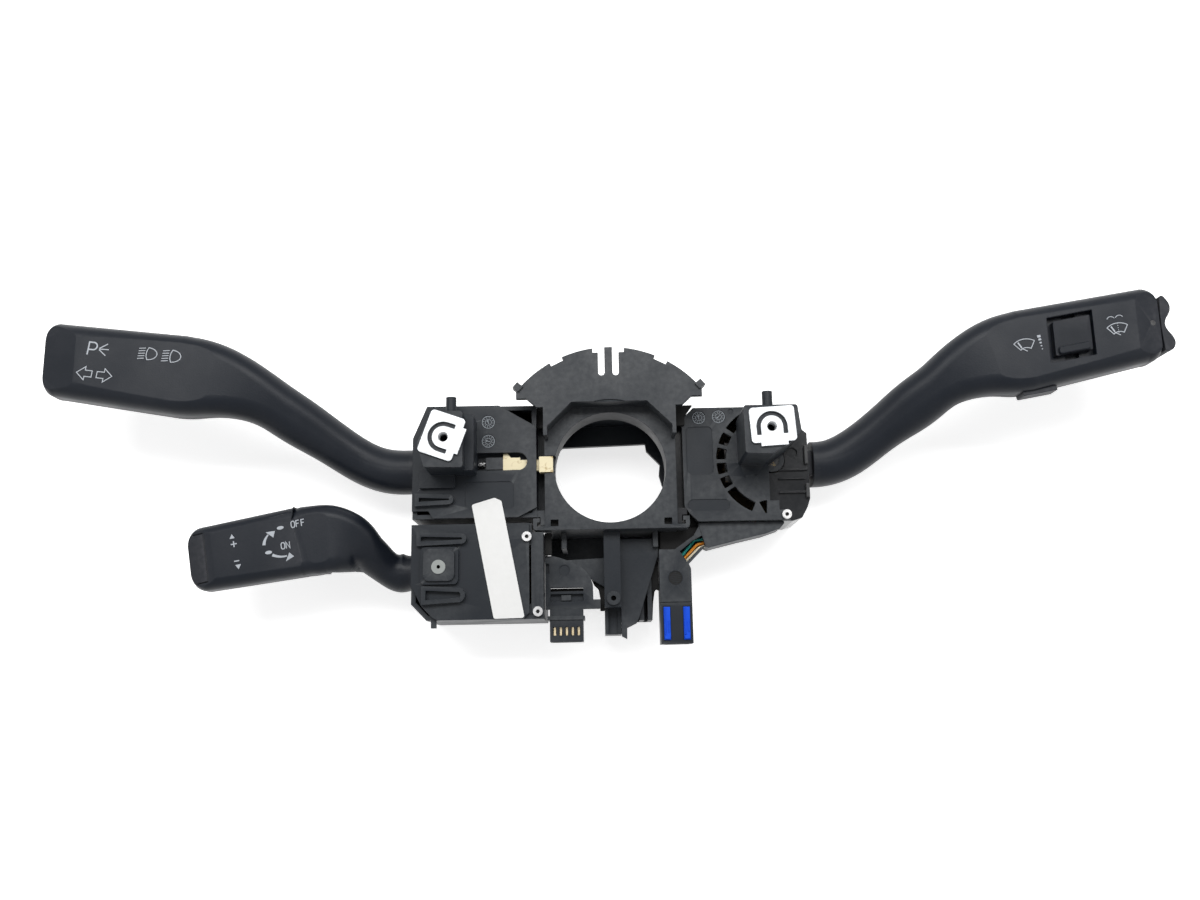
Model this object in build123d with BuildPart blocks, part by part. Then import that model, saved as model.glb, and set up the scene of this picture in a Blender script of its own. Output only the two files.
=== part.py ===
"""Steering column combination switch: carrier, three stalk switches and harness connectors.

Lies on its back: +X to the driver's right, +Y up the column, +Z towards the driver.
The origin is the centre of the column bore on the front face of the ring plate. Millimetres.
"""
from build123d import *
from math import atan2, cos, degrees, radians, sin
import os

os.makedirs("parts", exist_ok=True)

# Clearances
running_gap = 0.05      # radial, shaft in its bearing
moving_gap = 0.4        # between pieces of two bodies that never touch
seat_gap = 0.3          # between a moving piece and what guides it

# Column bore and carrier
bore_radius = 24.4
bore_land = 2.2
carrier_wall = 2.1
ring_thickness = 3.0
carrier_depth = 40.0
bore_tube_wall = 2.0
bore_tube_length = 14.0
bottom_land = 2.9
top_land = 4.2
hook_depth = 9.0
hook_width = 1.8
hook_reach = 3.4

carrier_half = bore_radius + bore_land + carrier_wall
carrier_inner = carrier_half - carrier_wall
carrier_bottom = -(bore_radius + bottom_land)
carrier_top = bore_radius + top_land
rear_z = -carrier_depth
saddle_thickness = 3.0

# Upper guard plate
guard_radius = 51.4
guard_height = 10.0
guard_thickness = 2.5
guard_opening_half = bore_radius + 2.6
guard_opening_chamfer = 10.6
guard_wall = 1.5
guard_ear_half = guard_radius - 11.1
guard_ear_low = 28.8
guard_slot_offset = 3.1
guard_slot_width = 2.8
guard_slot_bottom = 38.6
guard_slot_step = 2.4
notch_angle = 63.4
notch_width = 6.0
notch_depth = 1.7
clip_angle = 40.6
clip_size = 3.2

# Switch modules
module_floor = 2.0
module_wall = 2.0
channel_width = 3.5
channel_depth = 12.0
left_length = 57.5
left_cover_front = 1.0
left_cover_thickness = 1.8
indicator_top = 28.3
indicator_bottom = -21.5
cruise_top = -24.1
cruise_bottom = -65.0
wiper_length = 59.5
wiper_cover_front = -6.0
wiper_cover_thickness = 2.5
wiper_top = 27.2
wiper_bottom = -23.9
wiper_cover_right = 70.0
cover_chamfer_x = 16.4
cover_chamfer_y = 9.8

module_inner = carrier_half
cover_inner = carrier_half + channel_width
left_end = -(carrier_half + left_length)
right_end = carrier_half + wiper_length
left_rim_z = left_cover_front - left_cover_thickness
wiper_rim_z = wiper_cover_front - wiper_cover_thickness
rail_z = -channel_depth

# Stalk axes: where each stalk turns, and how deep its axis lies
axis_z = -22.0
upper_axis_y = 3.4
upper_inset = 14.2
cruise_inset = 12.2
wiper_inset = 16.2
indicator_axis_x = left_end + upper_inset
cruise_axis_x = left_end + cruise_inset
cruise_axis_y = -42.6
wiper_axis_x = right_end - wiper_inset

# Cradle, cross pin, plunger and detent, the same in each switch
shank_height = 11.0
shank_width = 11.0
cradle_cheek = 2.6
cradle_bridge = 3.0
cradle_length = 14.0
tilt_room = 1.4
trunnion_radius = 3.0
trunnion_length = 3.0
tilt_pin_radius = 2.0
plunger_radius = 2.2
plunger_reach = 14.5
shank_inner_end = 11.5
track_gap = 0.3
track_length = 6.0
track_width = 18.0
notch_radius = 1.6
boss_wall = 2.4

cradle_half_y = shank_width / 2 + seat_gap + cradle_cheek
cradle_half_z = shank_height / 2 + tilt_room + cradle_bridge

# Towers, nut plates and posts
nut_plate_front = 22.0
nut_plate_thickness = 1.2
nut_plate_width = 19.0
nut_plate_height = 15.2
nut_plate_tab = 1.5
thread_radius = 2.1
nut_collar_radius = 3.5
nut_collar_length = 5.0
nut_slot_radius = 5.6
nut_slot_width = 1.9
nut_slot_leg = 3.4
tower_top = nut_plate_front - nut_plate_thickness
screw_well_radius = 4.0
screw_well_depth = 14.0
left_nut_x = -70.0
left_nut_y = 9.9
left_nut_angle = 70.3
right_nut_x = 67.9
right_nut_y = 11.8
right_nut_angle = 3.3
post_radius = 2.25
post_x = 68.3
post_z = 10.0
post_tip_y = 29.8
tower_upper_y = 21.4

# Board inside each housing
board_thickness = 1.5
board_rib = 1.5
board_z = rear_z + module_floor + board_rib

# Cover screws
screw_head_radius = 2.1
screw_head_height = 1.5
screw_shank_radius = 1.2
screw_length = 9.0
socket_radius = 0.9

# Springs, plungers and detents
spring_wire = 0.5
plunger_bore_end = 3.2
plunger_back = 7.6
plunger_turns = 4
notch_pitch = 8.0

# Cancel mechanism
slot_left = -58.1
slot_right = -36.2
slot_y = 3.1
slot_half = 3.9
pawl_tip_y = 1.6
pawl_tip_width = 6.9
pawl_floor_z = -3.9
pawl_fork_left = -46.9
pawl_fork_right = -39.4
pawl_travel = 3.5
slider_left = -54.5
pawl_spring_radius = 1.2
pawl_spring_turns = 4
channel_floor = 1.8

# Stalks
stalk_gap = 2.1             # housing end to the neck's shoulder on the left
wiper_stalk_gap = 3.0
neck_overlap = 2.5
face_relief = 0.4
tip_drop = 2.8
paddle_corner = 0.36        # share of the thickness
neck_corner = 0.46
parting_w = -2.2
seam = 0.25
shell_land = 1.2
shell_start = 0.8
hollow_wall = 4.5
upper_paddle_z = 4.0
cruise_paddle_z = -4.0

left_neck_x = left_end - stalk_gap
right_neck_x = right_end + wiper_stalk_gap
mouth_half_y = shank_width / 2 + 4.4
mouth_half_z = shank_height / 2 + 3.6
bearing_top = axis_z - cradle_half_z - moving_gap
bearing_low = axis_z + cradle_half_z + moving_gap
bearing_outer = trunnion_radius + boss_wall
bearing_depth = trunnion_length + seat_gap


def finish(piece, name):
    """Label a finished piece and write its STEP file."""
    piece.part.label = name
    export_step(piece.part, f"parts/{name}.step")


def box_between(x0, x1, y0, y1, z0, z1, mode=Mode.ADD):
    """A box from its opposite corners, in the part being built."""
    with Locations(((x0 + x1) / 2, (y0 + y1) / 2, (z0 + z1) / 2)):
        Box(abs(x1 - x0), abs(y1 - y0), abs(z1 - z0), mode=mode)


def plate_outline(points, z_low, z_high, mode=Mode.ADD, corner=0):
    """A flat plate from its outline, with its corners rounded, in the part being built."""
    with BuildSketch(Plane.XY.offset(z_low)) as outline:
        Polygon(*points, align=None)
        if corner:
            fillet(outline.vertices(), corner)
    extrude(outline.sketch, amount=z_high - z_low, dir=(0, 0, 1), mode=mode)


def mirrored(points):
    """The points and their mirror images in the bore's middle plane, in order round."""
    return points + [(-x, y) for x, y in reversed(points)]


# Column carrier: ring plate, side rails, rear saddle, corner hooks
hook_half = carrier_half + hook_reach + hook_width
hook_lip = hook_half - 1.6 * hook_width

with BuildPart() as column_carrier:
    box_between(-carrier_half, carrier_half, carrier_bottom, carrier_top, -ring_thickness, 0)
    box_between(-carrier_half, carrier_half, carrier_bottom, carrier_top, rear_z, -ring_thickness)
    box_between(-carrier_inner, carrier_inner, carrier_bottom + carrier_wall,
                carrier_top - carrier_wall, rear_z + saddle_thickness, -ring_thickness,
                mode=Mode.SUBTRACT)
    # Bore tube behind the ring plate
    with BuildSketch(Plane.XY.offset(-ring_thickness)):
        Circle(bore_radius + bore_tube_wall)
    extrude(amount=-(bore_tube_length - ring_thickness))
    with BuildSketch(Plane.XY):
        Circle(bore_radius)
    extrude(amount=-bore_tube_length, mode=Mode.SUBTRACT)
    # Rear opening under the saddle, stepped at the upper right
    saddle_edge = [
        (-carrier_inner, carrier_bottom + carrier_wall),
        (carrier_inner, carrier_bottom + carrier_wall),
        (carrier_inner, -4.4), (bore_radius, -2.3), (23.1, 2.6), (23.6, 7.8),
        (17.4, 14.4), (16.9, 17.8), (-22.1, 16.7), (-23.9, 14.9), (-carrier_inner, 14.9),
    ]
    plate_outline(saddle_edge, rear_z, rear_z + saddle_thickness, mode=Mode.SUBTRACT)
    # J-shaped hooks at the four corners, which hold the tongues of the switches
    for side in (-1, 1):
        box_between(side * carrier_half, side * hook_half,
                    carrier_bottom, carrier_bottom + hook_width, -hook_depth, 0)
        box_between(side * (hook_half - hook_width), side * hook_half,
                    carrier_bottom, carrier_bottom + hook_reach + hook_width, -hook_depth, 0)
        box_between(side * hook_lip, side * hook_half,
                    carrier_bottom + hook_reach, carrier_bottom + hook_reach + hook_width,
                    -hook_depth, 0)
        # Small windows beside the bottom hooks
        box_between(side * (carrier_inner - 3.7), side * (carrier_inner - 0.4),
                    carrier_bottom + 1.7, carrier_bottom + 4.5, -ring_thickness, 0,
                    mode=Mode.SUBTRACT)
    hook_edges = column_carrier.edges().filter_by(Axis.Z).filter_by(
        lambda e: abs(e.center().X) > hook_half - 0.1 and e.center().Y < carrier_bottom + 0.1)
    fillet(hook_edges, hook_width * 0.9)
    # Notch in the rim for the cancel pawl
    box_between(-carrier_half, -bore_radius * 0.9,
                pawl_tip_y - pawl_tip_width / 2 - moving_gap,
                pawl_tip_y + pawl_tip_width / 2 + moving_gap,
                pawl_floor_z - moving_gap, 0, mode=Mode.SUBTRACT)
finish(column_carrier, "column_carrier")

# Upper guard plate, standing on the ring plate
guard_back = guard_height - guard_thickness
guard_outline = mirrored([
    (guard_ear_half, guard_radius + 5), (guard_ear_half, guard_ear_low),
    (carrier_half + 7.1, guard_ear_low), (carrier_half + 2.8, carrier_top - 3.7),
    (carrier_half, carrier_top - 3.7), (carrier_half, guard_opening_half - 14.5),
])
opening_corner = guard_opening_half - guard_opening_chamfer
guard_opening = mirrored([
    (opening_corner, guard_opening_half), (guard_opening_half, opening_corner),
    (guard_opening_half, 0),
])
guard_collar = mirrored([
    (opening_corner + guard_wall * 0.4, guard_opening_half + guard_wall),
    (guard_opening_half + guard_wall, opening_corner + guard_wall * 0.4),
    (guard_opening_half + guard_wall, guard_opening_half - 14.5),
])

with BuildPart() as upper_guard_plate:
    with BuildSketch(Plane.XY.offset(guard_back)):
        Circle(guard_radius)
        Polygon(*guard_outline, align=None, mode=Mode.INTERSECT)
    extrude(amount=guard_thickness)
    plate_outline(guard_collar, 0, guard_back)
    plate_outline(guard_opening, 0, guard_height, mode=Mode.SUBTRACT)
    # Shallow crescent above the opening, round the bore's axis
    with BuildSketch(Plane.XY.offset(guard_height)):
        Circle(guard_opening_half + 0.9)
    extrude(amount=-0.6, mode=Mode.SUBTRACT)
    # Two slots with a step at the rim
    with BuildSketch(Plane.XY.offset(guard_back)):
        for side in (-1, 1):
            slot_top = guard_radius + 2
            with Locations((side * guard_slot_offset, (guard_slot_bottom + slot_top) / 2)):
                SlotOverall(slot_top - guard_slot_bottom, guard_slot_width, rotation=90)
            with Locations((side * (guard_slot_offset + guard_slot_width / 2), slot_top)):
                Rectangle(2 * guard_slot_step, 2 * (slot_top - guard_radius + guard_slot_step))
    extrude(amount=guard_thickness, mode=Mode.SUBTRACT)
    # Edge notches and end clips
    with BuildSketch(Plane.XY.offset(guard_back)):
        for angle in (notch_angle, 180 - notch_angle):
            spot = (guard_radius * cos(radians(angle)), guard_radius * sin(radians(angle)))
            with Locations(Location((*spot, 0), (0, 0, angle))):
                Rectangle(2 * notch_depth, notch_width)
    extrude(amount=guard_thickness, mode=Mode.SUBTRACT)
    for angle in (clip_angle, 180 - clip_angle):
        reach = guard_radius + clip_size * 0.2
        spot = (reach * cos(radians(angle)), reach * sin(radians(angle)), guard_height - 1.5)
        with Locations(Location(spot, (0, 0, angle))):
            Box(clip_size, clip_size, 5.0)
finish(upper_guard_plate, "upper_guard_plate")

# Lower bracket: centre bar with a boss, slanted web, arm, ribs and tail
bar_half = 3.6
bar_end = -60.3
bar_front = -6.0
bracket_back = -33.0
bracket_plate = 3.0
web_front = -12.0
web_thickness = 2.6
arm_front = -13.0
arm_thickness = 3.0
tail_end = -71.6
boss_radius = 3.0
boss_y = -56.6
boss_hole_radius = 1.1
web_outline = [
    (bar_half, carrier_bottom - 3), (20.3, carrier_bottom - 3), (20.3, -38), (19.5, -40),
    (11.4, -64.5), (10.2, -67.1), (6.0, -69.1), (5.9, -73.8), (bar_half, tail_end - 1),
]
arm_outline = [
    (-bar_half, -38.4), (-24.0, -39.2), (-24.0, -46.0), (-12.0, -46.0), (-8.6, -48.0),
    (-bar_half, -51.0),
]

with BuildPart() as lower_bracket:
    box_between(-bar_half, bar_half, bar_end, carrier_bottom, bracket_back, bar_front)
    box_between(-carrier_half + 1, 21, carrier_bottom - 11, carrier_bottom,
                bracket_back - bracket_plate, bracket_back)
    box_between(-bar_half, bar_half, tail_end, bar_end, bracket_back, web_front - 3)
    box_between(-bar_half + 1.6, bar_half - 1.6, tail_end, bar_end, web_front - 5, web_front - 3,
                mode=Mode.SUBTRACT)
    plate_outline(web_outline, web_front - web_thickness, web_front)
    plate_outline(arm_outline, arm_front - arm_thickness, arm_front)
    # Rib block behind the slanted web
    box_between(bar_half, 17.2, -65.7, -46.0, bracket_back, bracket_back + 2)
    for rib_x in (9.0, 12.6, 16.2):
        box_between(rib_x - 1, rib_x + 1, -65.7, -46.0, bracket_back, web_front - web_thickness)
    # Short stiffening ribs under the ring plate
    for rib_x in (-20.9, 19.2):
        box_between(rib_x - 1.1, rib_x + 1.1, carrier_bottom - 7, carrier_bottom,
                    bracket_back, -9)
    # Screw boss on the bar
    with Locations((0.3, boss_y, bar_front + 0.75)):
        Cylinder(boss_radius, 1.5)
    with Locations((0.3, boss_y, bar_front - 3)):
        Cylinder(boss_hole_radius, 9.0, mode=Mode.SUBTRACT)
finish(lower_bracket, "lower_bracket")


def nut_plate(x, y, angle):
    """Sheet-metal nut plate about its threaded hole: plate with a tab, U-shaped slot, collar."""
    turned = Plane((x, y, tower_top), x_dir=(cos(radians(angle)), sin(radians(angle)), 0))
    with BuildSketch(turned) as sheet:
        with Locations((0.5, 0.9)):
            RectangleRounded(nut_plate_width, nut_plate_height, 1.6)
        with Locations((0.5, 0.9 - nut_plate_height / 2)):
            Rectangle(nut_plate_width * 0.6, 2 * nut_plate_tab)
    extrude(sheet.sketch, amount=nut_plate_thickness)
    with BuildSketch(turned) as slot:
        Circle(nut_slot_radius + nut_slot_width / 2)
        Circle(nut_slot_radius - nut_slot_width / 2, mode=Mode.SUBTRACT)
        with Locations((0, -nut_slot_radius)):
            Rectangle(3 * nut_slot_radius, 2 * nut_slot_radius, mode=Mode.SUBTRACT)
        for side in (-1, 1):
            with Locations((side * nut_slot_radius, -nut_slot_leg / 2)):
                Rectangle(nut_slot_width, nut_slot_leg)
    extrude(slot.sketch, amount=nut_plate_thickness, mode=Mode.SUBTRACT)
    with Locations(turned.offset(nut_plate_thickness - nut_collar_length / 2).location):
        Cylinder(nut_collar_radius, nut_collar_length)
        Cylinder(thread_radius, nut_collar_length, mode=Mode.SUBTRACT)


def screw_well(x, y):
    """Clearance under a nut plate for its collar and the screw's end."""
    with Locations((x, y, tower_top - screw_well_depth / 2)):
        Cylinder(screw_well_radius, screw_well_depth, mode=Mode.SUBTRACT)


def locating_post(side):
    """Round post on the upper side of a tower, pointing up the column."""
    root = Plane((side * post_x, tower_upper_y, post_z), x_dir=(1, 0, 0), z_dir=(0, 1, 0))
    with BuildSketch(root) as round_post:
        Circle(post_radius)
    extrude(round_post.sketch, amount=post_tip_y - tower_upper_y)


def clip_loop(x0, x1, y_top, y_low, z, height=2.4, band=1.9):
    """Hairpin-shaped snap loop lying on a cover, narrower at its round inner end."""
    taper = (y_top - y_low) * 0.12
    with BuildSketch(Plane.XY.offset(z)) as hairpin:
        with BuildLine():
            Polyline((x0, y_top), (x1 - 2, y_top - taper))
            ThreePointArc((x1 - 2, y_top - taper), (x1, (y_top + y_low) / 2),
                          (x1 - 2, y_low + taper))
            Polyline((x1 - 2, y_low + taper), (x0, y_low), (x0, y_top))
        make_face()
        offset(amount=-band, mode=Mode.SUBTRACT, kind=Kind.INTERSECTION)
    extrude(hairpin.sketch, amount=height)


def shallow_disc(x, y, radius, z, depth=0.3):
    """Round recess of a date wheel or ejector mark."""
    with Locations((x, y, z - depth / 2)):
        Cylinder(radius, depth, mode=Mode.SUBTRACT)


def shallow_panel(x0, x1, y0, y1, z, radius, depth=0.3):
    """Rounded rectangular recess."""
    with BuildSketch(Plane.XY.offset(z)) as panel:
        with Locations(((x0 + x1) / 2, (y0 + y1) / 2)):
            RectangleRounded(x1 - x0, y1 - y0, radius)
    extrude(panel.sketch, amount=-depth, mode=Mode.SUBTRACT)


def cradle(x, y):
    """Ring round a stalk's shank, with a trunnion above and below and a bore for the cross pin."""
    box_between(x - cradle_length / 2, x + cradle_length / 2, y - cradle_half_y,
                y + cradle_half_y, axis_z - cradle_half_z, axis_z + cradle_half_z)
    box_between(x - cradle_length, x + cradle_length, y - shank_width / 2 - seat_gap,
                y + shank_width / 2 + seat_gap, axis_z - shank_height / 2 - tilt_room,
                axis_z + shank_height / 2 + tilt_room, mode=Mode.SUBTRACT)
    for side in (-1, 1):
        reach = moving_gap + trunnion_length
        with Locations((x, y, axis_z + side * (cradle_half_z + reach / 2))):
            Cylinder(trunnion_radius, reach)
    with Locations(Location((x, y, axis_z), (90, 0, 0))):
        Cylinder(tilt_pin_radius + running_gap, 3 * cradle_half_y, mode=Mode.SUBTRACT)


def lower_bearing(x, y):
    """Boss on a housing's floor in which the cradle's lower trunnion turns."""
    with Locations((x, y, (rear_z + bearing_top) / 2)):
        Cylinder(bearing_outer, bearing_top - rear_z)
    with Locations((x, y, bearing_top - bearing_depth / 2)):
        Cylinder(trunnion_radius + running_gap, bearing_depth, mode=Mode.SUBTRACT)


def upper_bearing(x, y, rim_z):
    """Boss under a cover in which the cradle's upper trunnion turns."""
    with Locations((x, y, (bearing_low + rim_z) / 2)):
        Cylinder(bearing_outer, rim_z - bearing_low)
    with Locations((x, y, bearing_low + bearing_depth / 2)):
        Cylinder(trunnion_radius + running_gap, bearing_depth, mode=Mode.SUBTRACT)


def cross_pin(x, y):
    """Steel pin through cradle and shank."""
    with Locations(Location((x, y, axis_z), (90, 0, 0))):
        Cylinder(tilt_pin_radius, 2 * cradle_half_y)


def shank(x, y, outward, neck_x):
    """Bar from the stalk's neck through the cradle, bored for the cross pin and the plunger."""
    inner_x = x - outward * shank_inner_end
    box_between(inner_x, neck_x + outward * neck_overlap, y - shank_width / 2, y + shank_width / 2,
                axis_z - shank_height / 2, axis_z + shank_height / 2)
    with Locations(Location((x, y, axis_z), (90, 0, 0))):
        Cylinder(tilt_pin_radius + running_gap, 2 * shank_width, mode=Mode.SUBTRACT)
    bore_length = shank_inner_end - plunger_bore_end
    with Locations(Location((inner_x + outward * bore_length / 2, y, axis_z), (0, 90, 0))):
        Cylinder(plunger_radius + running_gap, bore_length, mode=Mode.SUBTRACT)


def plunger(x, y, outward):
    """Round-nosed pin that rides on the detent track."""
    length = plunger_reach - plunger_back - plunger_radius
    middle = x - outward * (plunger_back + length / 2)
    with Locations(Location((middle, y, axis_z), (0, 90, 0))):
        Cylinder(plunger_radius, length)
    with Locations((x - outward * (plunger_reach - plunger_radius), y, axis_z)):
        Sphere(plunger_radius)


def detent_track(x, y, outward):
    """Hollow spherical track about the stalk's two axes, with grooves for its positions."""
    near = x - outward * (plunger_reach - 2.6)
    far = x - outward * (plunger_reach + track_length)
    box_between(near, far, y - track_width / 2, y + track_width / 2, rear_z + module_floor,
                axis_z + track_width / 2)
    with Locations(Location((x, y, axis_z), (0, 0, 90))):
        Sphere(plunger_reach + track_gap, mode=Mode.SUBTRACT)
    for angle in (-notch_pitch, 0, notch_pitch):
        reach = plunger_reach + track_gap + notch_radius / 2
        spot = (x - outward * reach * cos(radians(angle)), y + reach * sin(radians(angle)), axis_z)
        with Locations(spot):
            Cylinder(notch_radius, track_width / 2, mode=Mode.SUBTRACT)


def spring_coil(start, direction, length, turns, radius):
    """Coil spring of hexagonal wire, from its first turn's centre along a direction."""
    with BuildLine() as path:
        Helix(length / turns, length, radius, center=start, direction=direction)
    with BuildSketch(Plane(path.line @ 0, z_dir=path.line % 0)) as wire:
        RegularPolygon(spring_wire / 2, 6)
    sweep(wire.sketch, path=path.line, is_frenet=True)


def plunger_spring(x, y, outward):
    """Coil spring behind a plunger, in the shank's bore."""
    start = (x - outward * (plunger_bore_end + spring_wire), y, axis_z)
    length = plunger_back - plunger_bore_end - 2 * spring_wire
    spring_coil(start, (-outward, 0, 0), length, plunger_turns, plunger_radius - 0.7)


def board(x0, x1, y0, y1, x, y, outward):
    """Contact board on the housing's ribs, cut out round the bearing and the detent track."""
    box_between(x0 + moving_gap, x1 - moving_gap, y0 + moving_gap, y1 - moving_gap, board_z,
                board_z + board_thickness)
    with Locations((x, y, board_z)):
        Cylinder(bearing_outer + moving_gap, 4 * board_thickness, mode=Mode.SUBTRACT)
    box_between(x - outward * (plunger_reach - 2.6 - moving_gap),
                x - outward * (plunger_reach + track_length + moving_gap),
                y - track_width / 2 - moving_gap, y + track_width / 2 + moving_gap,
                rear_z, axis_z, mode=Mode.SUBTRACT)


def contact_carriage(x, y):
    """Sliding contact under one cheek of the cradle, with two feet just above the board."""
    low = board_z + board_thickness + seat_gap
    cradle_low = axis_z - cradle_half_z
    near = bearing_outer + moving_gap
    box_between(x - 6, x + 6, y + near, y + cradle_half_y, low + 1.2, cradle_low)
    for side in (-1, 1):
        box_between(x + side * 3.4 - 1.4, x + side * 3.4 + 1.4, y + near, y + cradle_half_y, low,
                    low + 1.2)


def stalk_frames(start, outward, neck_run, bend, bend_radius, diagonal, flare_radius,
                 paddle_angle, rise, shoulder):
    """Planes across a stalk's S-shaped centreline, how far it has grown at each, its paddle.

    The line leaves straight, turns up by the bend angle, runs on slanted and turns back to
    the paddle's angle, while it rises towards the driver by an even, soft step. It grows
    from the start of the flare to the paddle's shoulder.
    """
    flare_length = radians(bend - paddle_angle) * flare_radius
    bend_length = radians(bend) * bend_radius
    flare_start = bend_length + diagonal
    total = flare_start + flare_length

    def place(run):
        """Plan position and heading after a run along the line, past the straight neck."""
        turned = min(max(run / bend_radius, 0), radians(bend))
        x = neck_run + min(run, 0) + bend_radius * sin(turned)
        y = bend_radius * (1 - cos(turned))
        straight = min(max(run - bend_length, 0), diagonal)
        x += straight * cos(radians(bend))
        y += straight * sin(radians(bend))
        back = min(max(run - flare_start, 0), flare_length)
        heading = turned - back / flare_radius
        x += flare_radius * (sin(turned) - sin(heading)) if back else 0
        y += flare_radius * (cos(heading) - cos(turned)) if back else 0
        beyond = max(run - total, 0)
        x += beyond * cos(heading)
        y += beyond * sin(heading)
        share = min(max(run / total, 0), 1)
        z = rise * share * share * (3 - 2 * share)
        slope = 6 * rise * share * (1 - share) / total
        return x, y, z, heading, slope

    def plane_at(run):
        """Plane across the line after a run along it."""
        x, y, z, heading, slope = place(run)
        origin = (start[0] + outward * x, start[1] + y, start[2] + z)
        across = (-outward * sin(heading), cos(heading), 0)
        along = (outward * cos(heading), sin(heading), slope)
        return Plane(origin, x_dir=across, z_dir=along)

    runs = [-neck_run, 0, bend_length / 2, bend_length, bend_length + diagonal / 2]
    runs += [flare_start + flare_length * quarter / 4 for quarter in range(5)]
    runs.append(total + shoulder)
    planes = [plane_at(run) for run in runs]
    growth = [max(run - flare_start, 0) / (flare_length + shoulder) for run in runs]
    end = planes[-2]
    paddle = Plane(end.origin, x_dir=end.z_dir, z_dir=(0, 0, 1))
    return planes, growth, paddle


def end_frame(frame, u, square=True):
    """Frame at a paddle's end: square to the paddle, or with its sides straight up the column."""
    origin = (frame.location * Location((u, 0, 0))).position
    along = frame.x_dir if square else Vector(1 if frame.x_dir.X > 0 else -1, 0, 0)
    return Plane(origin, x_dir=along, z_dir=(0, 0, 1))


def cross_plane(end, offset):
    """Plane across a paddle's end, moved outward."""
    up = end.y_dir if end.y_dir.Y > 0 else end.y_dir * -1
    return Plane(end.origin + end.x_dir * offset, x_dir=up, z_dir=end.x_dir)


def on_frame(frame, u, v, w, turn=(0, 0, 0)):
    """A place in a paddle's frame: along it, across it and towards the driver."""
    return frame.location * Location((u, v, w), turn)


def frame_box(frame, u0, u1, v0, v1, w0, w1, mode=Mode.ADD):
    """A box from its opposite corners in a paddle's frame."""
    with Locations(on_frame(frame, (u0 + u1) / 2, (v0 + v1) / 2, (w0 + w1) / 2)):
        Box(abs(u1 - u0), abs(v1 - v0), abs(w1 - w0), mode=mode)


def stalk_blank(planes, growth, end, neck, waist, flare, paddle_size, end_size, nose, ease,
                last_angle=78):
    """Outer form of a stalk: neck, slim waist, flare, tapered paddle and its rounded nose.

    The flare grows by an S-curve, or faster at its start as the ease goes from 0 to 1. The
    nose is a quarter turn that takes the given radii off the paddle's width and thickness.
    """
    def between(low, high, share):
        """Width and thickness at a share of the way from one size to the next."""
        return tuple(a + (b - a) * share for a, b in zip(low, high))

    round_neck = (neck, neck)
    sizes = [round_neck, round_neck, between(round_neck, waist, 0.5), waist,
             between(waist, flare, 0.5)]
    rounds = [neck_corner] * len(sizes)
    for share in growth[len(sizes):]:
        soft = share * share * (3 - 2 * share)
        swell = ease * share * (2 - share) + (1 - ease) * soft
        sizes.append(between(flare, paddle_size, swell))
        rounds.append(neck_corner + (paddle_corner - neck_corner) * swell)
    sections = []
    for plane, size, share in zip(planes, sizes, rounds):
        with BuildSketch(plane) as section:
            RectangleRounded(*size, share * size[1])
        sections.append(section.sketch)
    loft(sections)
    nose_width, nose_thickness = nose
    nose_sections = []
    for angle in (0, last_angle / 3, 2 * last_angle / 3, last_angle):
        drop = 1 - cos(radians(angle))
        size = (end_size[0] - 2 * nose_width * drop, end_size[1] - 2 * nose_thickness * drop)
        with BuildSketch(cross_plane(end, nose_width * (sin(radians(angle)) - 1))) as section:
            RectangleRounded(*size, paddle_corner * size[1])
        nose_sections.append(section.sketch)
    loft([sections[-1], nose_sections[0]], ruled=True)
    loft(nose_sections)


def paddle_face(frame, end, thickness, crease):
    """Flat front panel, sunk a little below the arm, and the bevel at the paddle's end."""
    top = thickness / 2
    frame_box(frame, -30, 120, -40, 40, top - face_relief, top + 10, mode=Mode.SUBTRACT)
    tilt = degrees(atan2(tip_drop, crease))
    spot = on_frame(end, -crease, 0, top - face_relief, (0, tilt, 0)) * Location((20, 0, 5))
    with Locations(spot):
        Box(40, 80, 10, mode=Mode.SUBTRACT)


def leaning_block(frame, u0, u1, v0, v1, w0, w1, mode=Mode.ADD, corner=0):
    """A block on a paddle whose short sides run straight up the column; u is taken at v = 0."""
    lean = frame.x_dir.Y / frame.x_dir.X
    with BuildSketch(Plane(frame.origin, x_dir=frame.x_dir, z_dir=(0, 0, 1)).offset(w0)) as base:
        Polygon((u0 + lean * v0, v0), (u1 + lean * v0, v0), (u1 + lean * v1, v1),
                (u0 + lean * v1, v1), align=None)
        if corner:
            fillet(base.vertices(), corner)
    extrude(base.sketch, amount=w1 - w0, dir=(0, 0, 1), mode=mode)


# Indicator switch: housing
corner_cut = 6.0
corner_cut_low = 14.0

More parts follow.
